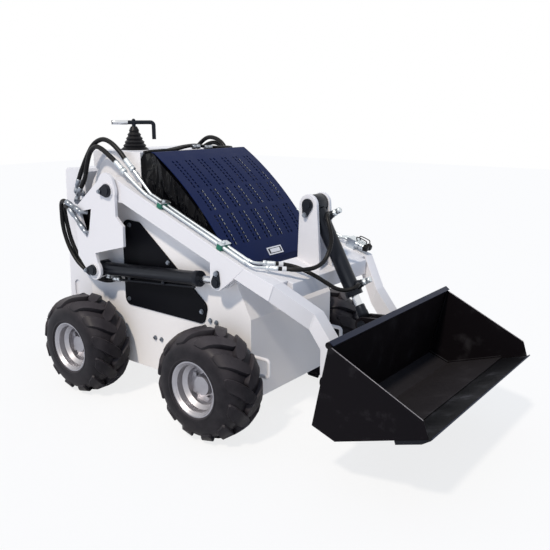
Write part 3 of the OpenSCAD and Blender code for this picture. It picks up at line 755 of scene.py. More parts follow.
NODE_FINISH = [
    # The tub takes the lighter copy of the white paint, painted light against its shade
    ("white_lifted_for_shade", 1.0, "tub"),
    ("white", 1.0, "rear_body console tower_right tower_left cross_beam mast arm_right arm_left"),
    ("white", 0, "tie_downs"),
    ("navy", 0, "hood"),
    ("cast", 0, "engine_block"),
    ("sheet", 0, "engine_cowl"),
    ("black", 0.6, "side_cover_right side_cover_left foot_platform"),
    ("enamel", 0, "axle_front_right axle_front_left axle_rear_right axle_rear_left"),
    ("enamel", 0.4, "pivot_pins base_pins mast_pin rod_pin_heads hinge_pins"),
    ("enamel", 0.5, "lift_barrel_right lift_barrel_left tilt_barrel"),
    ("chrome", 0.3, "lift_rod_right lift_rod_left tilt_rod"),
    ("boot", 0, "joystick_boot"),
    ("enamel", 0, "joystick_handle"),
    ("tyre", 1.0, "tyre_front_right tyre_front_left tyre_rear_right tyre_rear_left"),
    ("rim", 0, "rim_front_right rim_front_left rim_rear_right rim_rear_left"),
    ("zinc", 0, "oil_tubes couplers"),
    ("bucket", 0.8, "attach_plate bucket_shell"),
    ("edge", 0.4, "cutting_edge"),
]


class LOADER_OT_finishes(bpy.types.Operator):
    """Paint, plating and rubber on the solids, and rounded cut edges"""

    bl_idname = "loader.finishes"
    bl_label = "Finishes"

    MERGE = 0.00002
    FLAT_DEGREES = 0.3
    SHARP_DEGREES = 32

    def round_edges(self, obj, width):
        """Modifiers that merge a solid's spare points and round its cut edges."""
        weld = obj.modifiers.new("weld", "WELD")
        weld.merge_threshold = self.MERGE
        flat = obj.modifiers.new("flat", "DECIMATE")
        flat.decimate_type = "DISSOLVE"
        flat.angle_limit = math.radians(self.FLAT_DEGREES)
        bevel = obj.modifiers.new("edge", "BEVEL")
        bevel.limit_method = "ANGLE"
        bevel.angle_limit = math.radians(self.SHARP_DEGREES)
        bevel.width = width
        bevel.segments = 2
        bevel.harden_normals = True

    def execute(self, context):
        FINISH.update(make_finishes())
        edge = context.scene.loader_sizes.edge
        TREES["sweep"] = make_sweep_tree()
        TREES["bolt"] = make_bolt_tree()
        TREES["tread"] = make_tread_tree()
        TREES["ring"] = make_ring_tree()
        for finish, rounding, names in NODE_FINISH:
            for name in names.split():
                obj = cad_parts[name]
                obj.data.materials.clear()
                obj.data.materials.append(FINISH[finish])
                if rounding:
                    self.round_edges(obj, rounding * edge)
        return {"FINISHED"}


class LOADER_OT_arm_tubes(bpy.types.Operator):
    """Steel oil tubes on the arms with their clamps"""

    bl_idname = "loader.arm_tubes"
    bl_label = "Arm tubes"

    # Side-view points of a tube's rear end, by side and distance from the middle
    RISES = {
        ("right", 314): [(-112, 1039), (-58, 991)],
        ("right", 340): [(-138, 1029), (-70, 982)],
        ("left", 314): [(-98, 1037), (-54, 990)],
        ("left", 340): [(-124, 1030), (-68, 982)],
    }

    # Distances along the arm's top of a tube's bends and of the clamps
    TUBE_START = 150
    TUBE_END = 735
    CLAMPS = (245, 600)
    # Sizes of a clamp's body and lid, and heights of the body, lid and bolt above the arm in metres
    CLAMP_BODY = (26, 54, 25)
    CLAMP_LID = (27, 58, 3.6)
    CLAMP_RISES = (0.0125, 0.0268, 0.0295)
    CLAMP_BOLT = 0.014
    # Shares of a tube's straight run at which its route has points
    RUN = (0.06, 0.5, 0.94)

    def execute(self, context):
        radius = context.scene.loader_sizes.tube / 2
        lean = side_turn(ARM_TOP_REAR, ARM_TOP_MID)
        off = lean @ Vector((0, 0, 1))
        for name, s in SIDES.items():
            parts = []
            for y in TUBE_Y:
                start = between(ARM_TOP_REAR, ARM_TOP_MID, self.TUBE_START)
                end = between(ARM_TOP_REAR, ARM_TOP_MID, self.TUBE_END)
                low = at(start[0], s * y, start[1]) + off * TUBE_RISE
                front = at(end[0], s * y, end[1]) + off * TUBE_RISE
                route = [at(x, s * y, z) for x, z in self.RISES[name, y]]
                route += [low, *(low.lerp(front, share) for share in self.RUN), front]
                parts.append(sweep(f"oil_tube_{name}_{y}", route, radius, "arms", "zinc", "zinc_steel"))
            for i, t in enumerate(self.CLAMPS):
                spot = between(ARM_TOP_REAR, ARM_TOP_MID, t)
                centre = at(spot[0], s * LIFT_Y, spot[1])
                foot, lid, head = [centre + off * rise for rise in self.CLAMP_RISES]
                label = f"{name}_{i}"
                parts += [
                    block(
                        f"clamp_body_{label}", foot, self.CLAMP_BODY, "arms", "clamp", "black_plastic", lean, 5
                    ),
                    block(f"clamp_lid_{label}", lid, self.CLAMP_LID, "arms", "zinc", "zinc_steel", lean, 1),
                    bolts(f"clamp_bolt_{label}", [(head, off)], self.CLAMP_BOLT, "arms"),
                ]
            whole = join(f"oil_tubes_{name}", parts)
            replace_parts(whole, "oil_tubes")
        return {"FINISHED"}


class LOADER_OT_tower_hoses(bpy.types.Operator):
    """Hoses that arch over the towers from the frame to the arm tubes"""

    bl_idname = "loader.tower_hoses"
    bl_label = "Tower hoses"

    # Columns: x, distance from the middle, z
    ROUTES = {
        ("right", "inner"): [
            (-471, 335, 971), (-446, 332, 1020), (-399, 328, 1091), (-353, 325, 1140), (-296, 322, 1161),
            (-243, 319, 1148), (-193, 316, 1113), (-154, 314, 1075),
        ],
        ("right", "outer"): [
            (-453, 342, 935), (-414, 341, 987), (-391, 340, 1053), (-364, 340, 1104), (-325, 340, 1129),
            (-282, 340, 1121), (-232, 340, 1094), (-187, 340, 1066),
        ],
        ("left", "inner"): [
            (-471, 335, 971), (-440, 333, 1016), (-380, 331, 1082), (-332, 330, 1126), (-280, 329, 1152),
            (-222, 325, 1148), (-173, 320, 1124), (-138, 314, 1083),
        ],
        ("left", "outer"): [
            (-453, 342, 935), (-412, 341, 985), (-372, 340, 1048), (-326, 340, 1100), (-280, 340, 1122),
            (-240, 340, 1126), (-204, 340, 1112), (-170, 340, 1071),
        ],
    }
    # Span over which a hose turns from the frame to the arms. Columns: start, end
    SPANS = {
        ("right", "inner"): ((-467, 968), (-337, 850)),
        ("right", "outer"): ((-457, 938), (-318, 844)),
        ("left", "inner"): ((-478, 978), (-328, 842)),
        ("left", "outer"): ((-472, 928), (-135, 1064)),
    }
    # Columns: where the ferrule starts, where it ends on the arm's tube
    CRIMPS = {
        ("right", "inner"): ((-160, 314, 1081), (-108, 314, 1035)),
        ("right", "outer"): ((-194, 340, 1071), (-134, 340, 1026)),
        ("left", "inner"): ((-143, 314, 1089), (-94, 314, 1032)),
        ("left", "outer"): ((-174, 340, 1077), (-120, 340, 1027)),
    }
    # Columns: bulkhead on the frame's side, corner, hose end
    ELBOWS = {
        "inner": ((-512, 284, 906), (-503, 330, 914), (-466, 335, 980)),
        "outer": ((-508, 284, 866), (-497, 338, 872), (-446, 342, 944)),
    }

    # Turned shapes. Columns: share of the length, radius
    ELBOW = [(0, 14), (0.25, 14), (0.26, 9), (0.55, 9), (0.56, 12), (0.9, 12), (1, 9)]
    SOCKET = [(0, 9), (0.1, 12), (0.3, 12), (0.31, 10), (0.5, 10), (0.51, 12), (0.94, 12), (1, 10)]

    def execute(self, context):
        radius = context.scene.loader_sizes.lift_hose / 2
        for (name, key), rows in self.ROUTES.items():
            s = SIDES[name]
            route = [at(x, s * y, z) for x, y, z in rows]
            hose = sweep(f"tower_hose_{name}_{key}", route, radius, None, "hose", "boot_rubber")
            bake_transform(hose)
            a, b = [at(x, s * y, z) for x, y, z in self.CRIMPS[name, key]]
            turning(f"tower_crimp_{name}_{key}", a, b, FERRULE, "arms", "zinc", "zinc_steel")
            wall, corner, tip = [at(x, s * y, z) for x, y, z in self.ELBOWS[key]]
            label = f"tower_fitting_{name}_{key}"
            looks = ("chassis", "fitting", "zinc_steel", 18)
            base = turning(f"{label}_base", wall, corner, self.ELBOW, *looks)
            crimp = turning(f"{label}_crimp", corner, tip, self.SOCKET, *looks)
            join(label, [base, crimp])
        return {"FINISHED"}


class LOADER_OT_cylinder_hoses(bpy.types.Operator):
    """Hoses, adapters and lines of the lift cylinders"""

    bl_idname = "loader.cylinder_hoses"
    bl_label = "Lift cylinder hoses"

    # Columns: x, distance from the middle, z
    LOOPS = {
        "outer": [
            (-494, 388, 877), (-526, 386, 880), (-551, 380, 864), (-563, 374, 822), (-564, 372, 764),
            (-549, 372, 711), (-522, 371, 657), (-480, 369, 606), (-440, 363, 573), (-394, 352, 543),
            (-350, 338, 526), (-306, 329, 540),
        ],
        "inner": [
            (-474, 388, 845), (-508, 383, 856), (-538, 372, 850), (-556, 360, 816), (-556, 353, 763),
            (-541, 352, 709), (-514, 351, 655), (-474, 349, 600), (-424, 341, 549), (-366, 328, 522),
            (-314, 319, 520), (-268, 318, 533),
        ],
    }
    # Columns: loop end, corner, end in the tower's hole
    ADAPTERS = {
        "outer": ((-503, 388, 879), (-398, 388, 841), (-384, 362, 834)),
        "inner": ((-482, 388, 850), (-372, 388, 752), (-366, 362, 750)),
    }

    # Turned shapes. Columns: share of the length, radius
    ADAPTER = [
        (0, 9), (0.04, 12.5), (0.3, 12.5), (0.31, 9.5), (0.62, 9.5), (0.63, 12), (0.9, 12), (0.91, 9), (1, 9),
    ]
    BASE_PORT = [(0, 9), (0.02, 12), (0.4, 12), (0.41, 10), (0.6, 10), (0.61, 15), (1, 15)]
    LINE_NUT = [(0, 9), (0.02, 12), (0.45, 12), (0.46, 10), (0.55, 10), (0.56, 13), (0.95, 13), (1, 10)]
    # A loop's hose as a share of the tower hoses' size, and the radius of an adapter's bend in metres
    LOOP_SHARE = 0.92
    BEND_RADIUS = 0.009
    VALVE_AT = (-385, 318, 800)
    VALVE_SIZE = (110, 60, 140)
    # Distances along the cylinder of the base port, the line's bend and the gland port
    PORTS = (40, 545, 590)
    # Places from the base port. Columns: forward, distance from the loader's middle, upward
    BASE_PORT_ENDS = [(-8, 328, -44), (0, LIFT_Y, -24)]
    LINE_NUT_ENDS = [(24, 318, -46), (66, 318, -42)]
    LINE_REAR = [(62, 318, -42), (130, 318, -40)]
    # Places from the line's bend and from the gland port, with the same columns
    LINE_BEND = [(0, 318, -40), (26, 320, -38)]
    LINE_FRONT = [(0, 324, -30), (2, 326, -22)]
    LINE_RADIUS = 0.006
    # Clips of the line. Distances along the cylinder, place from its axis and size
    CLIPS = (180, 400)
    CLIP_AT = (0, 319, -35)
    CLIP_SIZE = (18, 22, 18)

    def execute(self, context):
        radius = context.scene.loader_sizes.lift_hose / 2 * self.LOOP_SHARE
        lean = side_turn(LIFT_BASE, LIFT_EYE)
        near, far, port = [between(LIFT_BASE, LIFT_EYE, t) for t in self.PORTS]
        for name, s in SIDES.items():
            body = f"lift_cylinder_{name}"
            for key, rows in self.LOOPS.items():
                route = [at(x, s * y, z) for x, y, z in rows]
                hose = sweep(f"lift_hose_{name}_{key}", route, radius, None, "hose", "boot_rubber")
                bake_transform(hose)
                a, b, c = [at(x, s * y, z) for x, y, z in self.ADAPTERS[key]]
                label = f"lift_adapter_{name}_{key}"
                looks = ("chassis", "fitting", "zinc_steel")
                straight = turning(f"{label}_body", a, b, self.ADAPTER, *looks, 18)
                bend = sweep(f"{label}_bend", [a.lerp(b, 0.9), b, c], self.BEND_RADIUS, *looks)
                join(label, [straight, bend])
            x, y, z = self.VALVE_AT
            spot = at(x, s * y, z)
            block(f"valve_block_{name}", spot, self.VALVE_SIZE, "chassis", "cast", "black_paint", None, 4)
            parts = []
            a, b = beside(near, s, self.BASE_PORT_ENDS)
            parts.append(turning(f"base_port_{name}", a, b, self.BASE_PORT, body, "zinc", "zinc_steel", 18))
            a, b = beside(near, s, self.LINE_NUT_ENDS)
            parts.append(turning(f"line_nut_{name}", a, b, self.LINE_NUT, body, "zinc", "zinc_steel", 18))
            line = beside(near, s, self.LINE_REAR)
            line += beside(far, s, self.LINE_BEND)
            line += beside(port, s, self.LINE_FRONT)
            looks = (body, "enamel", "black_paint")
            parts.append(sweep(f"lift_line_{name}", line, self.LINE_RADIUS, *looks, 12))
            for t in self.CLIPS:
                spot = beside(between(LIFT_BASE, LIFT_EYE, t), s, [self.CLIP_AT])[0]
                label = f"line_clip_{name}_{t}"
                parts.append(block(label, spot, self.CLIP_SIZE, *looks, lean, 3))
            join(f"lift_fittings_{name}", parts)
        return {"FINISHED"}


class LOADER_OT_tilt_hoses(bpy.types.Operator):
    """Hoses from the right arm's tubes to the tilt cylinder, its ports and its rod end"""

    bl_idname = "loader.tilt_hoses"
    bl_label = "Tilt cylinder hoses"

    # Steel bends off the arm's tubes. Columns: x, y, z
    BENDS = {
        "a": [(528, -314, 732), (546, -312, 725), (556, -294, 719), (558, -272, 715), (566, -252, 713)],
        "b": [(528, -340, 732), (560, -340, 719), (580, -330, 713), (594, -310, 710), (612, -294, 708)],
    }
    # Columns: ferrule's end on the steel bend, its end on the hose
    CRIMPS = {"a": ((556, -262, 714), (590, -225, 709)), "b": ((602, -300, 708), (642, -273, 706))}
    # Columns: x, y, z
    ROUTES = {
        "a": [
            (584, -232, 710), (598, -217, 708), (610, -204, 706), (648, -180, 697), (692, -168, 684),
            (734, -152, 664), (768, -132, 640), (796, -112, 620), (824, -90, 613), (848, -66, 621),
            (852, -44, 628), (840, -22, 625),
        ],
        "b": [
            (636, -278, 706), (652, -265, 705), (664, -254, 704), (692, -238, 702), (722, -208, 702),
            (738, -164, 706), (744, -120, 722), (747, -92, 756), (748, -78, 800), (733, -70, 846),
            (716, -60, 877), (706, -44, 889), (696, -22, 886),
        ],
    }
    # Sizes of the bends, ferrules and sleeves as shares of the tube, the tower's ferrules and the hose
    BEND_SHARE = 0.8
    CRIMP_SHARE = 0.78
    SLEEVE_SHARE = 1.12
    # Distance of each port from the mast's pin along the cylinder
    PORTS = {"low": 366, "high": 70}
    # Distances from the cylinder's axis of a port's root, its step and its tip
    PORT_ENDS = (24, 54, 97)
    # Turned shapes. Columns: share of the length, radius
    BOSS = [(0, 18), (0.55, 18), (0.6, 15), (1, 15)]
    STUB = [(0, 9), (0.1, 9), (0.11, 13), (0.45, 13), (0.46, 9), (0.6, 9), (0.61, 11.5), (0.95, 11.5), (1, 9)]
    ROD_END = [(0, 23), (0.5, 23), (0.62, 21), (0.92, 21), (1, 18)]
    # Distances of the rod end's sleeve from the bucket's pin
    ROD_END_SPAN = (16, 79)

    def execute(self, context):
        radius = context.scene.loader_sizes.tilt_hose / 2
        tube = context.scene.loader_sizes.tube / 2
        for key, rows in self.BENDS.items():
            route = [at(*row) for row in rows]
            sweep(f"tilt_bend_{key}", route, tube * self.BEND_SHARE, "arms", "zinc", "zinc_steel")
        shape = [(share, size * self.CRIMP_SHARE) for share, size in FERRULE]
        for key, (a, b) in self.CRIMPS.items():
            turning(f"tilt_crimp_{key}", at(*b), at(*a), shape, "arms", "zinc", "zinc_steel")
        for key, rows in self.ROUTES.items():
            route = [at(*row) for row in rows]
            hose = sweep(f"tilt_hose_{key}", route, radius, None, "hose", "boot_rubber")
            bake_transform(hose)
            sleeve = radius * self.SLEEVE_SHARE
            sweep(f"hose_sleeve_{key}", route[1:3], sleeve, "arms", "band", "white_paint", smooth=False)
        axis = between((0, 0), (TILT_EYE[0] - MAST_TOP[0], TILT_EYE[1] - MAST_TOP[1]), 1)
        out = (-axis[1], axis[0])
        body = "tilt_cylinder"
        for key, t in self.PORTS.items():
            spot = between(MAST_TOP, TILT_EYE, t)
            a, b, c = [at(spot[0] + out[0] * d, 0, spot[1] + out[1] * d) for d in self.PORT_ENDS]
            label = f"tilt_port_{key}"
            root = turning(f"{label}_boss", a, b, self.BOSS, body, "enamel", "black_paint", 20)
            tip = turning(f"{label}_stub", b, c, self.STUB, body, "zinc", "zinc_steel", 18)
            join(label, [root, tip])
        eye, neck = [between(TILT_EYE, MAST_TOP, d) for d in self.ROD_END_SPAN]
        turning(
            "rod_end_sleeve", at(eye[0], 0, eye[1]), at(neck[0], 0, neck[1]), self.ROD_END,
            "tilt_piston", "enamel", "black_paint", 28,
        )
        return {"FINISHED"}


class LOADER_OT_couplers(bpy.types.Operator):
    """Quick couplers and their short tubes on the left arm"""

    bl_idname = "loader.couplers"
    bl_label = "Couplers"

    # Distances of the couplers along the arm's front top and of the tubes' end along its rear top
    PLACE = 58
    TUBE_END = 730
    # Distance of a coupler's middle line from the arm's sides, in millimetres
    INSET = 16
    # In metres: height above the arm, ends of the sleeve and cap along it, radius of the tube and the strap
    RISE = 0.028
    ENDS = (0.018, 0.064, 0.083)
    TUBE_RADIUS = 0.007
    STRAP_RADIUS = 0.0024
    # Turned shapes. Columns: share of the length, radius
    SLEEVE = [
        (0, 13), (0.1, 14.5), (0.34, 14.5), (0.36, 12), (0.44, 12), (0.46, 14), (0.8, 14), (0.82, 12.5),
        (0.94, 12.5), (1, 12),
    ]
    CAP = [(0, 13), (0.06, 15.5), (0.3, 15.5), (0.34, 14), (0.86, 14), (1, 12)]

    def execute(self, context):
        spot = between(ARM_TOP_MID, ARM_TOP_BEND, self.PLACE)
        lean = side_turn(ARM_TOP_MID, ARM_TOP_BEND)
        along = lean @ Vector((1, 0, 0))
        off = lean @ Vector((0, 0, 1))
        rear_off = side_turn(ARM_TOP_REAR, ARM_TOP_MID) @ Vector((0, 0, 1))
        tube_end = between(ARM_TOP_REAR, ARM_TOP_MID, self.TUBE_END)
        parts = []
        for i, y in enumerate((ARM_IN + self.INSET, ARM_OUT - self.INSET)):
            base = at(spot[0], y, spot[1]) + off * self.RISE
            ends = [base + along * d for d in self.ENDS]
            rubber = ("arms", "hose", "boot_rubber")
            parts.append(turning(f"coupler_{i}", ends[0], ends[1], self.SLEEVE, "arms", "zinc", "zinc_steel"))
            parts.append(turning(f"coupler_cap_{i}", ends[1], ends[2], self.CAP, *rubber))
            strap = [ends[2] + off * 0.01, ends[2] + off * 0.02 - along * 0.012, ends[1] + off * 0.03]
            strap += [ends[0] + off * 0.03, ends[0] + off * 0.0145 + along * 0.004]
            parts.append(sweep(f"cap_strap_{i}", strap, self.STRAP_RADIUS, *rubber, 8))
            start = at(tube_end[0], TUBE_Y[i], tube_end[1]) + rear_off * TUBE_RISE
            route = [start, start.lerp(base, 0.4) + off * 0.006, base - along * 0.028, base - along * 0.01]
            parts.append(sweep(f"coupler_tube_{i}", route, self.TUBE_RADIUS, "arms", "zinc", "zinc_steel"))
        join("coupler_bodies", parts)
        return {"FINISHED"}


class LOADER_OT_tyres(bpy.types.Operator):
    """Round-shouldered tyres with moulded lugs"""

    bl_idname = "loader.tyres"
    bl_label = "Tyres"

    # Half of the carcass section. Columns: radius, distance from the tyre's middle
    CARCASS = [
        (208.5, 0), (208.3, 28), (206.5, 52), (201, 71), (191, 86), (177, 95.5), (160, 100), (142, 101.5),
        (128, 101), (124, 102), (120, 101), (115.5, 98), (115.5, 88), (102, 88),
    ]
    # A lug from its tip to the sidewall. Columns: top radius, top distance out from the middle line,
    # base radius, base distance, where it starts and ends round the tyre
    LUG = [
        (226.5, -19, 204, -21, -18, -8),
        (228, -16, 204, -17, -27, 4),
        (228.5, -7, 204, -7, -32, 15),
        (228.5, 8, 204, 8, -30, 32),
        (228.2, 30, 204, 29, -15, 51),
        (226, 50, 202, 48, 1, 68),
        (220, 68, 198, 63, 17, 84),
        (210, 83, 190, 75, 31, 97),
        (199, 92, 181, 84, 41, 105),
        (191, 96, 177, 89.5, 53, 101),
    ]
    # Section of a lug. Columns: start or end of the lug, how far beyond it, share of the height
    SECTION = [(-1, -5, 0), (-1, -1, 0.8), (-1, 3, 1), (1, -3, 1), (1, 1, 0.8), (1, 5, 0)]
    COUNT = 12
    MIDDLE = 405
    # Rows of the carcass that lie on one smooth curve
    SMOOTH_ROWS = 11

    def lug_mesh(self, side):
        """One lug of each half, at the start of the ring."""
        shape = bmesh.new()
        for half in (0, 1):
            out = -1 if half else 1
            rings = []
            for top_r, top_y, base_r, base_y, start, end in self.LUG:
                ring = []
                for way, extra, rise in self.SECTION:
                    reach = (end if way > 0 else start) + extra
                    radius = base_r + (top_r - base_r) * rise
                    across = base_y + (top_y - base_y) * rise
                    angle = reach / TYRE_R + half * math.pi / self.COUNT
                    spot = (radius * math.cos(angle), side * out * across, radius * math.sin(angle))
                    ring.append(shape.verts.new(Vector(spot) / 1000))
                rings.append(ring)
            bridge(shape, zip(rings, rings[1:]))
            shape.faces.new(rings[0])
            shape.faces.new(rings[-1])
        bmesh.ops.recalc_face_normals(shape, faces=shape.faces)
        shade(shape, 38)
        return as_mesh("lug", shape)

    def execute(self, context):
        half = smooth_route([Vector((r, y, 0)) for r, y in self.CARCASS[: self.SMOOTH_ROWS]], 4)
        half += [Vector((r, y, 0)) for r, y in self.CARCASS[self.SMOOTH_ROWS :]]
        section = [Vector((p.x, -p.y, 0)) for p in reversed(half[1:])] + half
        length = 2 * section[-1].y
        profile = [((p.y - section[0].y) / length, p.x) for p in section]
        turns = [(0, math.pi / 2 - i * 2 * math.pi / self.COUNT, 0) for i in range(self.COUNT)]
        for name, (x, s) in WHEELS.items():
            body = f"wheel_{name}"
            hub = at(x, s * self.MIDDLE, TYRE_R)
            reach = Vector((0, s * length / 2000, 0))
            carcass = turning(
                f"carcass_{name}", hub - reach, hub + reach, profile, body, "tyre", "tyre_rubber", 96, True
            )
            lug = bpy.data.objects.new("lug", self.lug_mesh(s))
            context.scene.collection.objects.link(lug)
            mesh = points_with("lug_points", [hub] * self.COUNT, "turned", turns)
            made = grown(mesh, TREES["ring"], {"Copy": lug, "Material": FINISH["tyre"]})
            bpy.data.objects.remove(lug)
            lugs = piece(f"lugs_{name}", made, body, "tyre")
            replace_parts(join(f"lugged_tyre_{name}", [carcass, lugs]), f"tyre_{name}")
        return {"FINISHED"}


class LOADER_OT_valves(bpy.types.Operator):
    """Tyre valves on the rims"""

    bl_idname = "loader.valves"
    bl_label = "Tyre valves"

    # Columns: share of the length, radius
    STEM = [(0, 9), (0.2, 8), (0.3, 5), (0.7, 5), (0.72, 6.5), (0.95, 6.5), (1, 5)]
    # Where the stem stands on the rim: its angle and the radius of its circle
    ANGLE = math.radians(-18)
    CIRCLE = 78
    # Distances of the stem's ends from the loader's middle
    REACH = (424, 462)

    def execute(self, context):
        z = TYRE_R + self.CIRCLE * math.sin(self.ANGLE)
        for name, (axle, s) in WHEELS.items():
            x = axle + self.CIRCLE * math.cos(self.ANGLE)
            start, end = [at(x, s * y, z) for y in self.REACH]
            turning(f"valve_{name}", start, end, self.STEM, f"wheel_{name}", "hose", "tyre_rubber", 16)
        return {"FINISHED"}


class LOADER_OT_hood_fittings(bpy.types.Operator):
    """Zinc strips that paint glints on the edges of the hood's slots, its blank plate and the hose bundle
    behind its top edge
    """

    bl_idname = "loader.hood_fittings"
    bl_label = "Hood fittings"

    # Centre of the plate and the way it faces in the side view
    PLATE = (418, 706)
    FACING = (0.831, 0.557)
    PLATE_Y = -10
    # Height of the plate's middle off that point, in metres
    PLATE_RISE = 0.001
    # Slots with a zinc strip on the far edge, a painted glint. Columns: column of slots, first share of the
    # hood's curve, slots
    GLINT_SLOTS = [(column, share, count) for column in range(5) for share, count in ((0.405, 6), (0.62, 8))]
    GLINT_SLOTS += [(5, 0.14, 5), (6, 0.3, 3), (6, 0.405, 4)]
    SLOT_PITCH = 19
    COLUMN_PITCH = 76
    MIDDLE_COLUMN = 3
    # Along the curve from a slot's start to its middle, and across from its column's line to its far edge
    SLOT_MIDDLE = 6.5
    SLOT_EDGE = 15.5
    # Depth of a strip's middle below the hood's curve, and its size
    STRIP_DEPTH = 1.5
    STRIP = (11, 0.9, 5)
    # Layers of the plate. Columns: label, height above the middle in metres, size, finish
    LAYERS = [
        ("rim", 0, (4, 97, 35), "plate"),
        ("inlay", 0.0016, (1.6, 84, 24), "enamel"),
        ("panel", 0.0021, (1.6, 64, 18), "plate"),
    ]
    HOSE_RADIUS = 0.0075
    # Columns: y, z of the two nuts
    NUTS = [(7, 1124), (86, 1118)]
    # Columns: share of the length, radius
    NUT = [(0, 8), (0.02, 10), (0.35, 10), (0.36, 8), (0.6, 8), (0.61, 10), (0.97, 10), (1, 8)]
    NUT_X = -50
    NUT_HALF = 22
    # Columns: x, y, z of the two hoses
    HOSES = [
        [
            (-72, -284, 1110), (-62, -250, 1114), (-60, -190, 1115), (-60, -119, 1116), (-64, -44, 1126),
            (-66, 25, 1129), (-62, 86, 1122), (-60, 160, 1116), (-66, 230, 1114), (-72, 272, 1110),
        ],
        [
            (-92, -140, 1112), (-82, -90, 1120), (-76, -44, 1127), (-76, 25, 1130), (-80, 90, 1122),
            (-92, 140, 1112),
        ],
    ]

    def slot_edges(self):
        """Zinc strips on the far cut faces of some slots, one small strip for each: painted glints where the
        slots' edges catch the light.
        """
        rise = Vector((HOOD_LOW[0] - HOOD_TOP[0], HOOD_LOW[1] - HOOD_TOP[1]))
        half = math.asin(rise.length / 2 / HOOD_R)
        middle = Vector(HOOD_TOP) + rise / 2
        centre = middle + Vector((rise.y, -rise.x)).normalized() * HOOD_R * math.cos(half)
        start = math.atan2(HOOD_TOP[1] - centre.y, HOOD_TOP[0] - centre.x)
        reach = HOOD_R - self.STRIP_DEPTH
        spots = []
        turns = []
        for column, share, count in self.GLINT_SLOTS:
            y = (column - self.MIDDLE_COLUMN) * self.COLUMN_PITCH + self.SLOT_EDGE
            for i in range(count):
                angle = start - 2 * half * share - (i * self.SLOT_PITCH + self.SLOT_MIDDLE) / HOOD_R
                spots.append(at(centre.x + reach * math.cos(angle), y, centre.y + reach * math.sin(angle)))
                turns.append((0, math.pi / 2 - angle, 0))
        # Bright zinc strips stand in for glints on the navy slot edges
        strip = block("strip", Vector(), self.STRIP, None, "zinc", "zinc_steel", None, 0.2)
        mesh = points_with("strip_points", spots, "turned", turns)
        made = grown(mesh, TREES["ring"], {"Copy": strip, "Material": FINISH["zinc"]})
        bpy.data.objects.remove(strip)
        made.name = "slot_edges"
        piece("slot_edges", made, "chassis", "zinc")

    def execute(self, context):
        self.slot_edges()
        turn = side_turn((0, 0), self.FACING)
        out = turn @ Vector((1, 0, 0))
        middle = at(self.PLATE[0], self.PLATE_Y, self.PLATE[1]) + out * self.PLATE_RISE
        parts = []
        for label, rise, size, finish in self.LAYERS:
            spot = middle + out * rise
            parts.append(block(f"plate_{label}", spot, size, "chassis", finish, "zinc_steel", turn, 0.6))
        join("hood_plate", parts)
        hoses = []
        for k, rows in enumerate(self.HOSES):
            route = [at(*row) for row in rows]
            hose = sweep(f"console_hose_{k}", route, self.HOSE_RADIUS, "chassis", "hose", "boot_rubber")
            hoses.append(hose)
        for k, (y, z) in enumerate(self.NUTS):
            a, b = at(self.NUT_X, y - self.NUT_HALF, z), at(self.NUT_X, y + self.NUT_HALF, z)
            hoses.append(turning(f"console_nut_{k}", a, b, self.NUT, "chassis", "fitting", "zinc_steel", 16))
        join("console_hoses", hoses)
        return {"FINISHED"}


class LOADER_OT_bolts(bpy.types.Operator):
    """Bolts of the frame, covers and pin retainers"""

    bl_idname = "loader.bolts"
    bl_label = "Bolts"

    # Columns: x, z on the side plates
    PLATE = [(-50, 289), (-9, 289), (294, 437), (329, 434)]
    # Columns: x, z on the side covers
    COVER = [(250, 468), (-210, 446), (-183, 790), (57, 650)]
    # Heights of the bolts' washers above the side plate, the cover, the pin retainer and the arm
    RISES = {"plate": 1, "cover": 6, "retainer": 1, "arm": 9}
    # Places from the frame's pins and the rod's eye. Columns: forward, upward
    RETAINER_BOLT = (-42, -6)
    EYE_BOLT = (6, 38)
    # Place from the mast's pin. Columns: forward, y, upward
    MAST_BOLT = (-10, -62, -40)

    def execute(self, context):
        width = context.scene.loader_sizes.bolt
        frame_rows = []
        arm_rows = []
        for s in SIDES.values():
            face = Vector((0, s, 0))
            out = FRAME_HALF + self.RISES["plate"]
            frame_rows += [(at(x, s * out, z), face) for x, z in self.PLATE]
            out = FRAME_HALF + self.RISES["cover"]
            frame_rows += [(at(x, s * out, z), face) for x, z in self.COVER]
            out = RETAINER_OUT + self.RISES["retainer"]
            ahead, up = self.RETAINER_BOLT
            for pin in (ARM_PIVOT, LIFT_BASE):
                frame_rows += [(spot, face) for spot in beside(pin, s, [(ahead, out, up)])]
            out = ARM_OUT + self.RISES["arm"]
            ahead, up = self.EYE_BOLT
            arm_rows += [(spot, face) for spot in beside(LIFT_EYE, s, [(ahead, out, up)])]
        arm_rows += [(spot, Vector((0, -1, 0))) for spot in beside(MAST_TOP, 1, [self.MAST_BOLT])]
        bolts("frame_bolts", frame_rows, width, "chassis", "fitting")
        bolts("arm_bolts", arm_rows, width, "arms", "fitting")
        return {"FINISHED"}


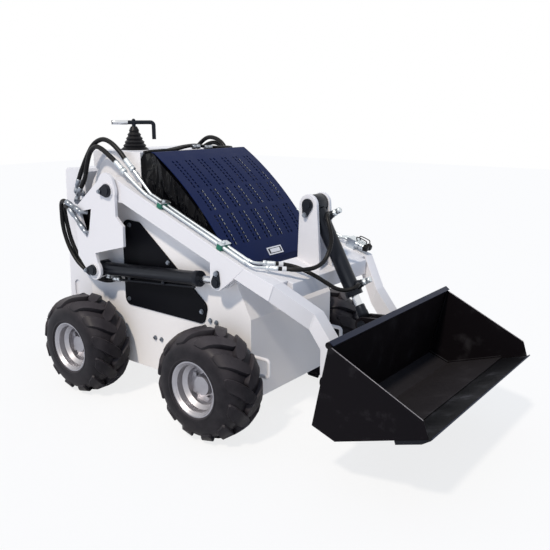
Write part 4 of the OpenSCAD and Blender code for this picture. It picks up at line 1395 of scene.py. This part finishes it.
class LOADER_OT_welds(bpy.types.Operator):
    """Weld beads of the arms and mast"""

    bl_idname = "loader.welds"
    bl_label = "Welds"

    # Side-view foot of the mast's weld, where the weld starts and ends from it, and its distances across
    MAST_FOOT = (556, 701)
    MAST_SPAN = (8, 114)
    MAST_Y = (37, 53)
    # Side-view ends of the beads. Columns: distance from the middle, start, end
    BEADS = [
        (ARM_OUT, ARM_TOP_MID, (490, 662)),
        (ARM_OUT, ARM_TOP_BEND, ARM_LOW_BEND),
        (JOG_OUT, BEND_TOP, BEND_LOW),
    ]
    STEPS = 24

    def execute(self, context):
        radius = context.scene.loader_sizes.weld / 2
        parts = []
        for s in SIDES.values():
            for k, (y, start, end) in enumerate(self.BEADS):
                a, b = at(start[0], s * y, start[1]), at(end[0], s * y, end[1])
                line = [a.lerp(b, 0.03 + 0.94 * i / self.STEPS) for i in range(self.STEPS + 1)]
                for i, spot in enumerate(line):
                    spot.y += s * 0.0004 * math.sin(i * 2.1) - s * 0.0022
                parts.append(
                    sweep(f"arm_weld_{s}_{k}", line, radius * 0.8, "arms", "white", "white_paint", 8, False)
                )
        ends = [between(self.MAST_FOOT, ARM_TOP_BEND, t) for t in self.MAST_SPAN]
        for s in SIDES.values():
            for y in self.MAST_Y:
                a, b = [at(x, s * y, z) for x, z in ends]
                line = [a.lerp(b, i / self.STEPS) for i in range(self.STEPS + 1)]
                parts.append(
                    sweep(f"mast_weld_{s}_{y}", line, radius * 0.9, "arms", "white", "white_paint", 8, False)
                )
        join("arm_welds", parts)
        return {"FINISHED"}


class LOADER_OT_bucket_trim(bpy.types.Operator):
    """Seam welds, rubbed edges and top lip of the bucket, with a painted bluish sheen on the lip and on the
    cutting edge's tip
    """

    bl_idname = "loader.bucket_trim"
    bl_label = "Bucket trim"

    # Side-view line of the weld inside each side plate, and its distance from the middle
    SEAM = [(1000, 512), (941, 235), (1027, 204), (1258, 283)]
    SEAM_Y = 453
    STEPS = 30
    # Side-view ends of a side plate's top edge, the span of it that is rubbed, and the cutting edge's tip
    SIDE_TOP = (993, 530)
    SIDE_FRONT = (1343, 365)
    RUBBED_SPAN = (14, 384)
    TIP = (1371, 313.5)
    HALF = 458
    LIP_AT = (1003, 538)
    LIP_SIZE = (22, 2 * HALF, 2.5)
    LIP_LEAN = (0.807, -0.59)

    def execute(self, context):
        radius = context.scene.loader_sizes.weld / 2
        seams = []
        rims = []
        ends = [between(self.SIDE_TOP, self.SIDE_FRONT, t) for t in self.RUBBED_SPAN]
        for s in SIDES.values():
            corners = [at(x, s * self.SEAM_Y, z) for x, z in self.SEAM]
            for k, (a, b) in enumerate(zip(corners, corners[1:])):
                line = [a.lerp(b, i / self.STEPS) for i in range(self.STEPS + 1)]
                seam = sweep(f"seam_{s}_{k}", line, radius, "bucket", "bucket", "black_paint", 8, False)
                seams.append(seam)
        join("bucket_seams", seams)
        for s in SIDES.values():
            line = [at(x, s * self.HALF, z) for x, z in ends]
            rims.append(sweep(f"side_rim_{s}", line, 0.0022, "bucket", "rubbed", "black_paint", 8, False))
        join("bucket_rims", rims)
        # Cutting-edge tip and top lip in blue-black enamel: a painted bluish sheen
        line = [at(self.TIP[0], s * self.HALF, self.TIP[1]) for s in SIDES.values()]
        sweep("edge_rim", line, 0.0026, "bucket", "lip", "black_paint", 8, False)
        lean = side_turn((0, 0), self.LIP_LEAN)
        centre = at(self.LIP_AT[0], 0, self.LIP_AT[1])
        block("bucket_lip", centre, self.LIP_SIZE, "bucket", "lip", "black_paint", lean, 1)
        return {"FINISHED"}


class LOADER_OT_controls(bpy.types.Operator):
    """Sleeve and knob of the control handle, and the boot's clamping plate"""

    bl_idname = "loader.controls"
    bl_label = "Controls"

    LEVER = (-292, -145)
    GRIP_Z = 1232
    GRIP_DEGREES = 51.5
    # Ends of the sleeve along the grip and of the knob above it, in metres
    SLEEVE_SPAN = (-0.094, -0.026)
    KNOB_SPAN = (0.006, 0.0165)
    # Heights of the boot's plate
    PLATE_SPAN = (1110.2, 1114)
    # Columns: share of the length, radius
    SLEEVE = [(0, 9.4), (0.02, 10.2), (0.98, 10.2), (1, 9.4)]
    KNOB = [(0, 8), (0.5, 8), (0.8, 6), (1, 3)]
    PLATE = [(0, 64), (0.4, 64), (1, 62)]

    def execute(self, context):
        centre = at(*self.LEVER, self.GRIP_Z)
        turn = math.radians(self.GRIP_DEGREES)
        along = Vector((math.cos(turn), math.sin(turn), 0))
        start, end = [centre + along * d for d in self.SLEEVE_SPAN]
        turning("grip_sleeve", start, end, self.SLEEVE, "chassis", "chrome", "hard_chrome")
        start, end = [centre + Vector((0, 0, d)) for d in self.KNOB_SPAN]
        turning("grip_knob", start, end, self.KNOB, "chassis", "enamel", "black_paint", 20)
        start, end = [at(*self.LEVER, z) for z in self.PLATE_SPAN]
        turning("boot_plate", start, end, self.PLATE, "chassis", "black", "black_paint", 40)
        return {"FINISHED"}


class LOADER_OT_step_tread(bpy.types.Operator):
    """Raised tread on the foot platform"""

    bl_idname = "loader.step_tread"
    bl_label = "Step tread"

    # In metres: spacing of the bars, bare edge of the step, first bar, sink of a bar and its size
    PITCH = 0.034
    MARGIN = 0.04
    FIRST = (0.03, 0.034)
    SINK = 0.0006
    BAR = (0.026, 0.007, 0.003)

    def execute(self, context):
        low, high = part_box("foot_platform")
        spots = []
        turns = []
        across = int((high.y - low.y - self.MARGIN) / self.PITCH)
        deep = int((high.x - low.x - self.MARGIN) / self.PITCH)
        for i in range(deep):
            for j in range(across):
                x = low.x + self.FIRST[0] + i * self.PITCH
                y = low.y + self.FIRST[1] + j * self.PITCH
                spots.append((x, y, high.z - self.SINK))
                turns.append((0, 0, math.radians(45 if (i + j) % 2 else -45)))
        mesh = points_with("tread_points", spots, "turned", turns)
        made = grown(mesh, TREES["tread"], {"Bar": self.BAR, "Material": FINISH["black"]})
        made.name = "step_tread"
        piece("step_tread", made, "chassis", "black")
        return {"FINISHED"}


class LOADER_PT_looks(bpy.types.Panel):
    """Sidebar list of the loader's sizes, colours and pieces"""

    bl_idname = "LOADER_PT_looks"
    bl_label = "Loader looks"
    bl_space_type = "VIEW_3D"
    bl_region_type = "UI"
    bl_category = "Loader"

    def draw(self, context):
        layout = self.layout
        for group in (context.scene.loader_sizes, context.scene.loader_colours):
            box = layout.box()
            for key in group.bl_rna.properties.keys():
                if key not in ("rna_type", "name"):
                    box.prop(group, key)
        for operator in OPERATORS:
            layout.operator(operator.bl_idname)


OPERATORS = (
    LOADER_OT_stage,
    LOADER_OT_finishes,
    LOADER_OT_arm_tubes,
    LOADER_OT_tower_hoses,
    LOADER_OT_cylinder_hoses,
    LOADER_OT_tilt_hoses,
    LOADER_OT_couplers,
    LOADER_OT_tyres,
    LOADER_OT_valves,
    LOADER_OT_hood_fittings,
    LOADER_OT_bolts,
    LOADER_OT_welds,
    LOADER_OT_bucket_trim,
    LOADER_OT_controls,
    LOADER_OT_step_tread,
)
CLASSES = (LoaderSizes, LoaderColours, *OPERATORS, LOADER_PT_looks)


def register():
    for cls in CLASSES:
        bpy.utils.register_class(cls)
    bpy.types.Scene.loader_sizes = bpy.props.PointerProperty(type=LoaderSizes)
    bpy.types.Scene.loader_colours = bpy.props.PointerProperty(type=LoaderColours)


def unregister():
    del bpy.types.Scene.loader_colours
    del bpy.types.Scene.loader_sizes
    for cls in reversed(CLASSES):
        bpy.utils.unregister_class(cls)


def main():
    register()
    bpy.ops.loader.stage()
    bpy.ops.loader.finishes()
    bpy.ops.loader.arm_tubes()
    bpy.ops.loader.tower_hoses()
    bpy.ops.loader.cylinder_hoses()
    bpy.ops.loader.tilt_hoses()
    bpy.ops.loader.couplers()
    bpy.ops.loader.tyres()
    bpy.ops.loader.valves()
    bpy.ops.loader.hood_fittings()
    bpy.ops.loader.bolts()
    bpy.ops.loader.welds()
    bpy.ops.loader.bucket_trim()
    bpy.ops.loader.controls()
    bpy.ops.loader.step_tread()


if __name__ == "__main__":
    main()
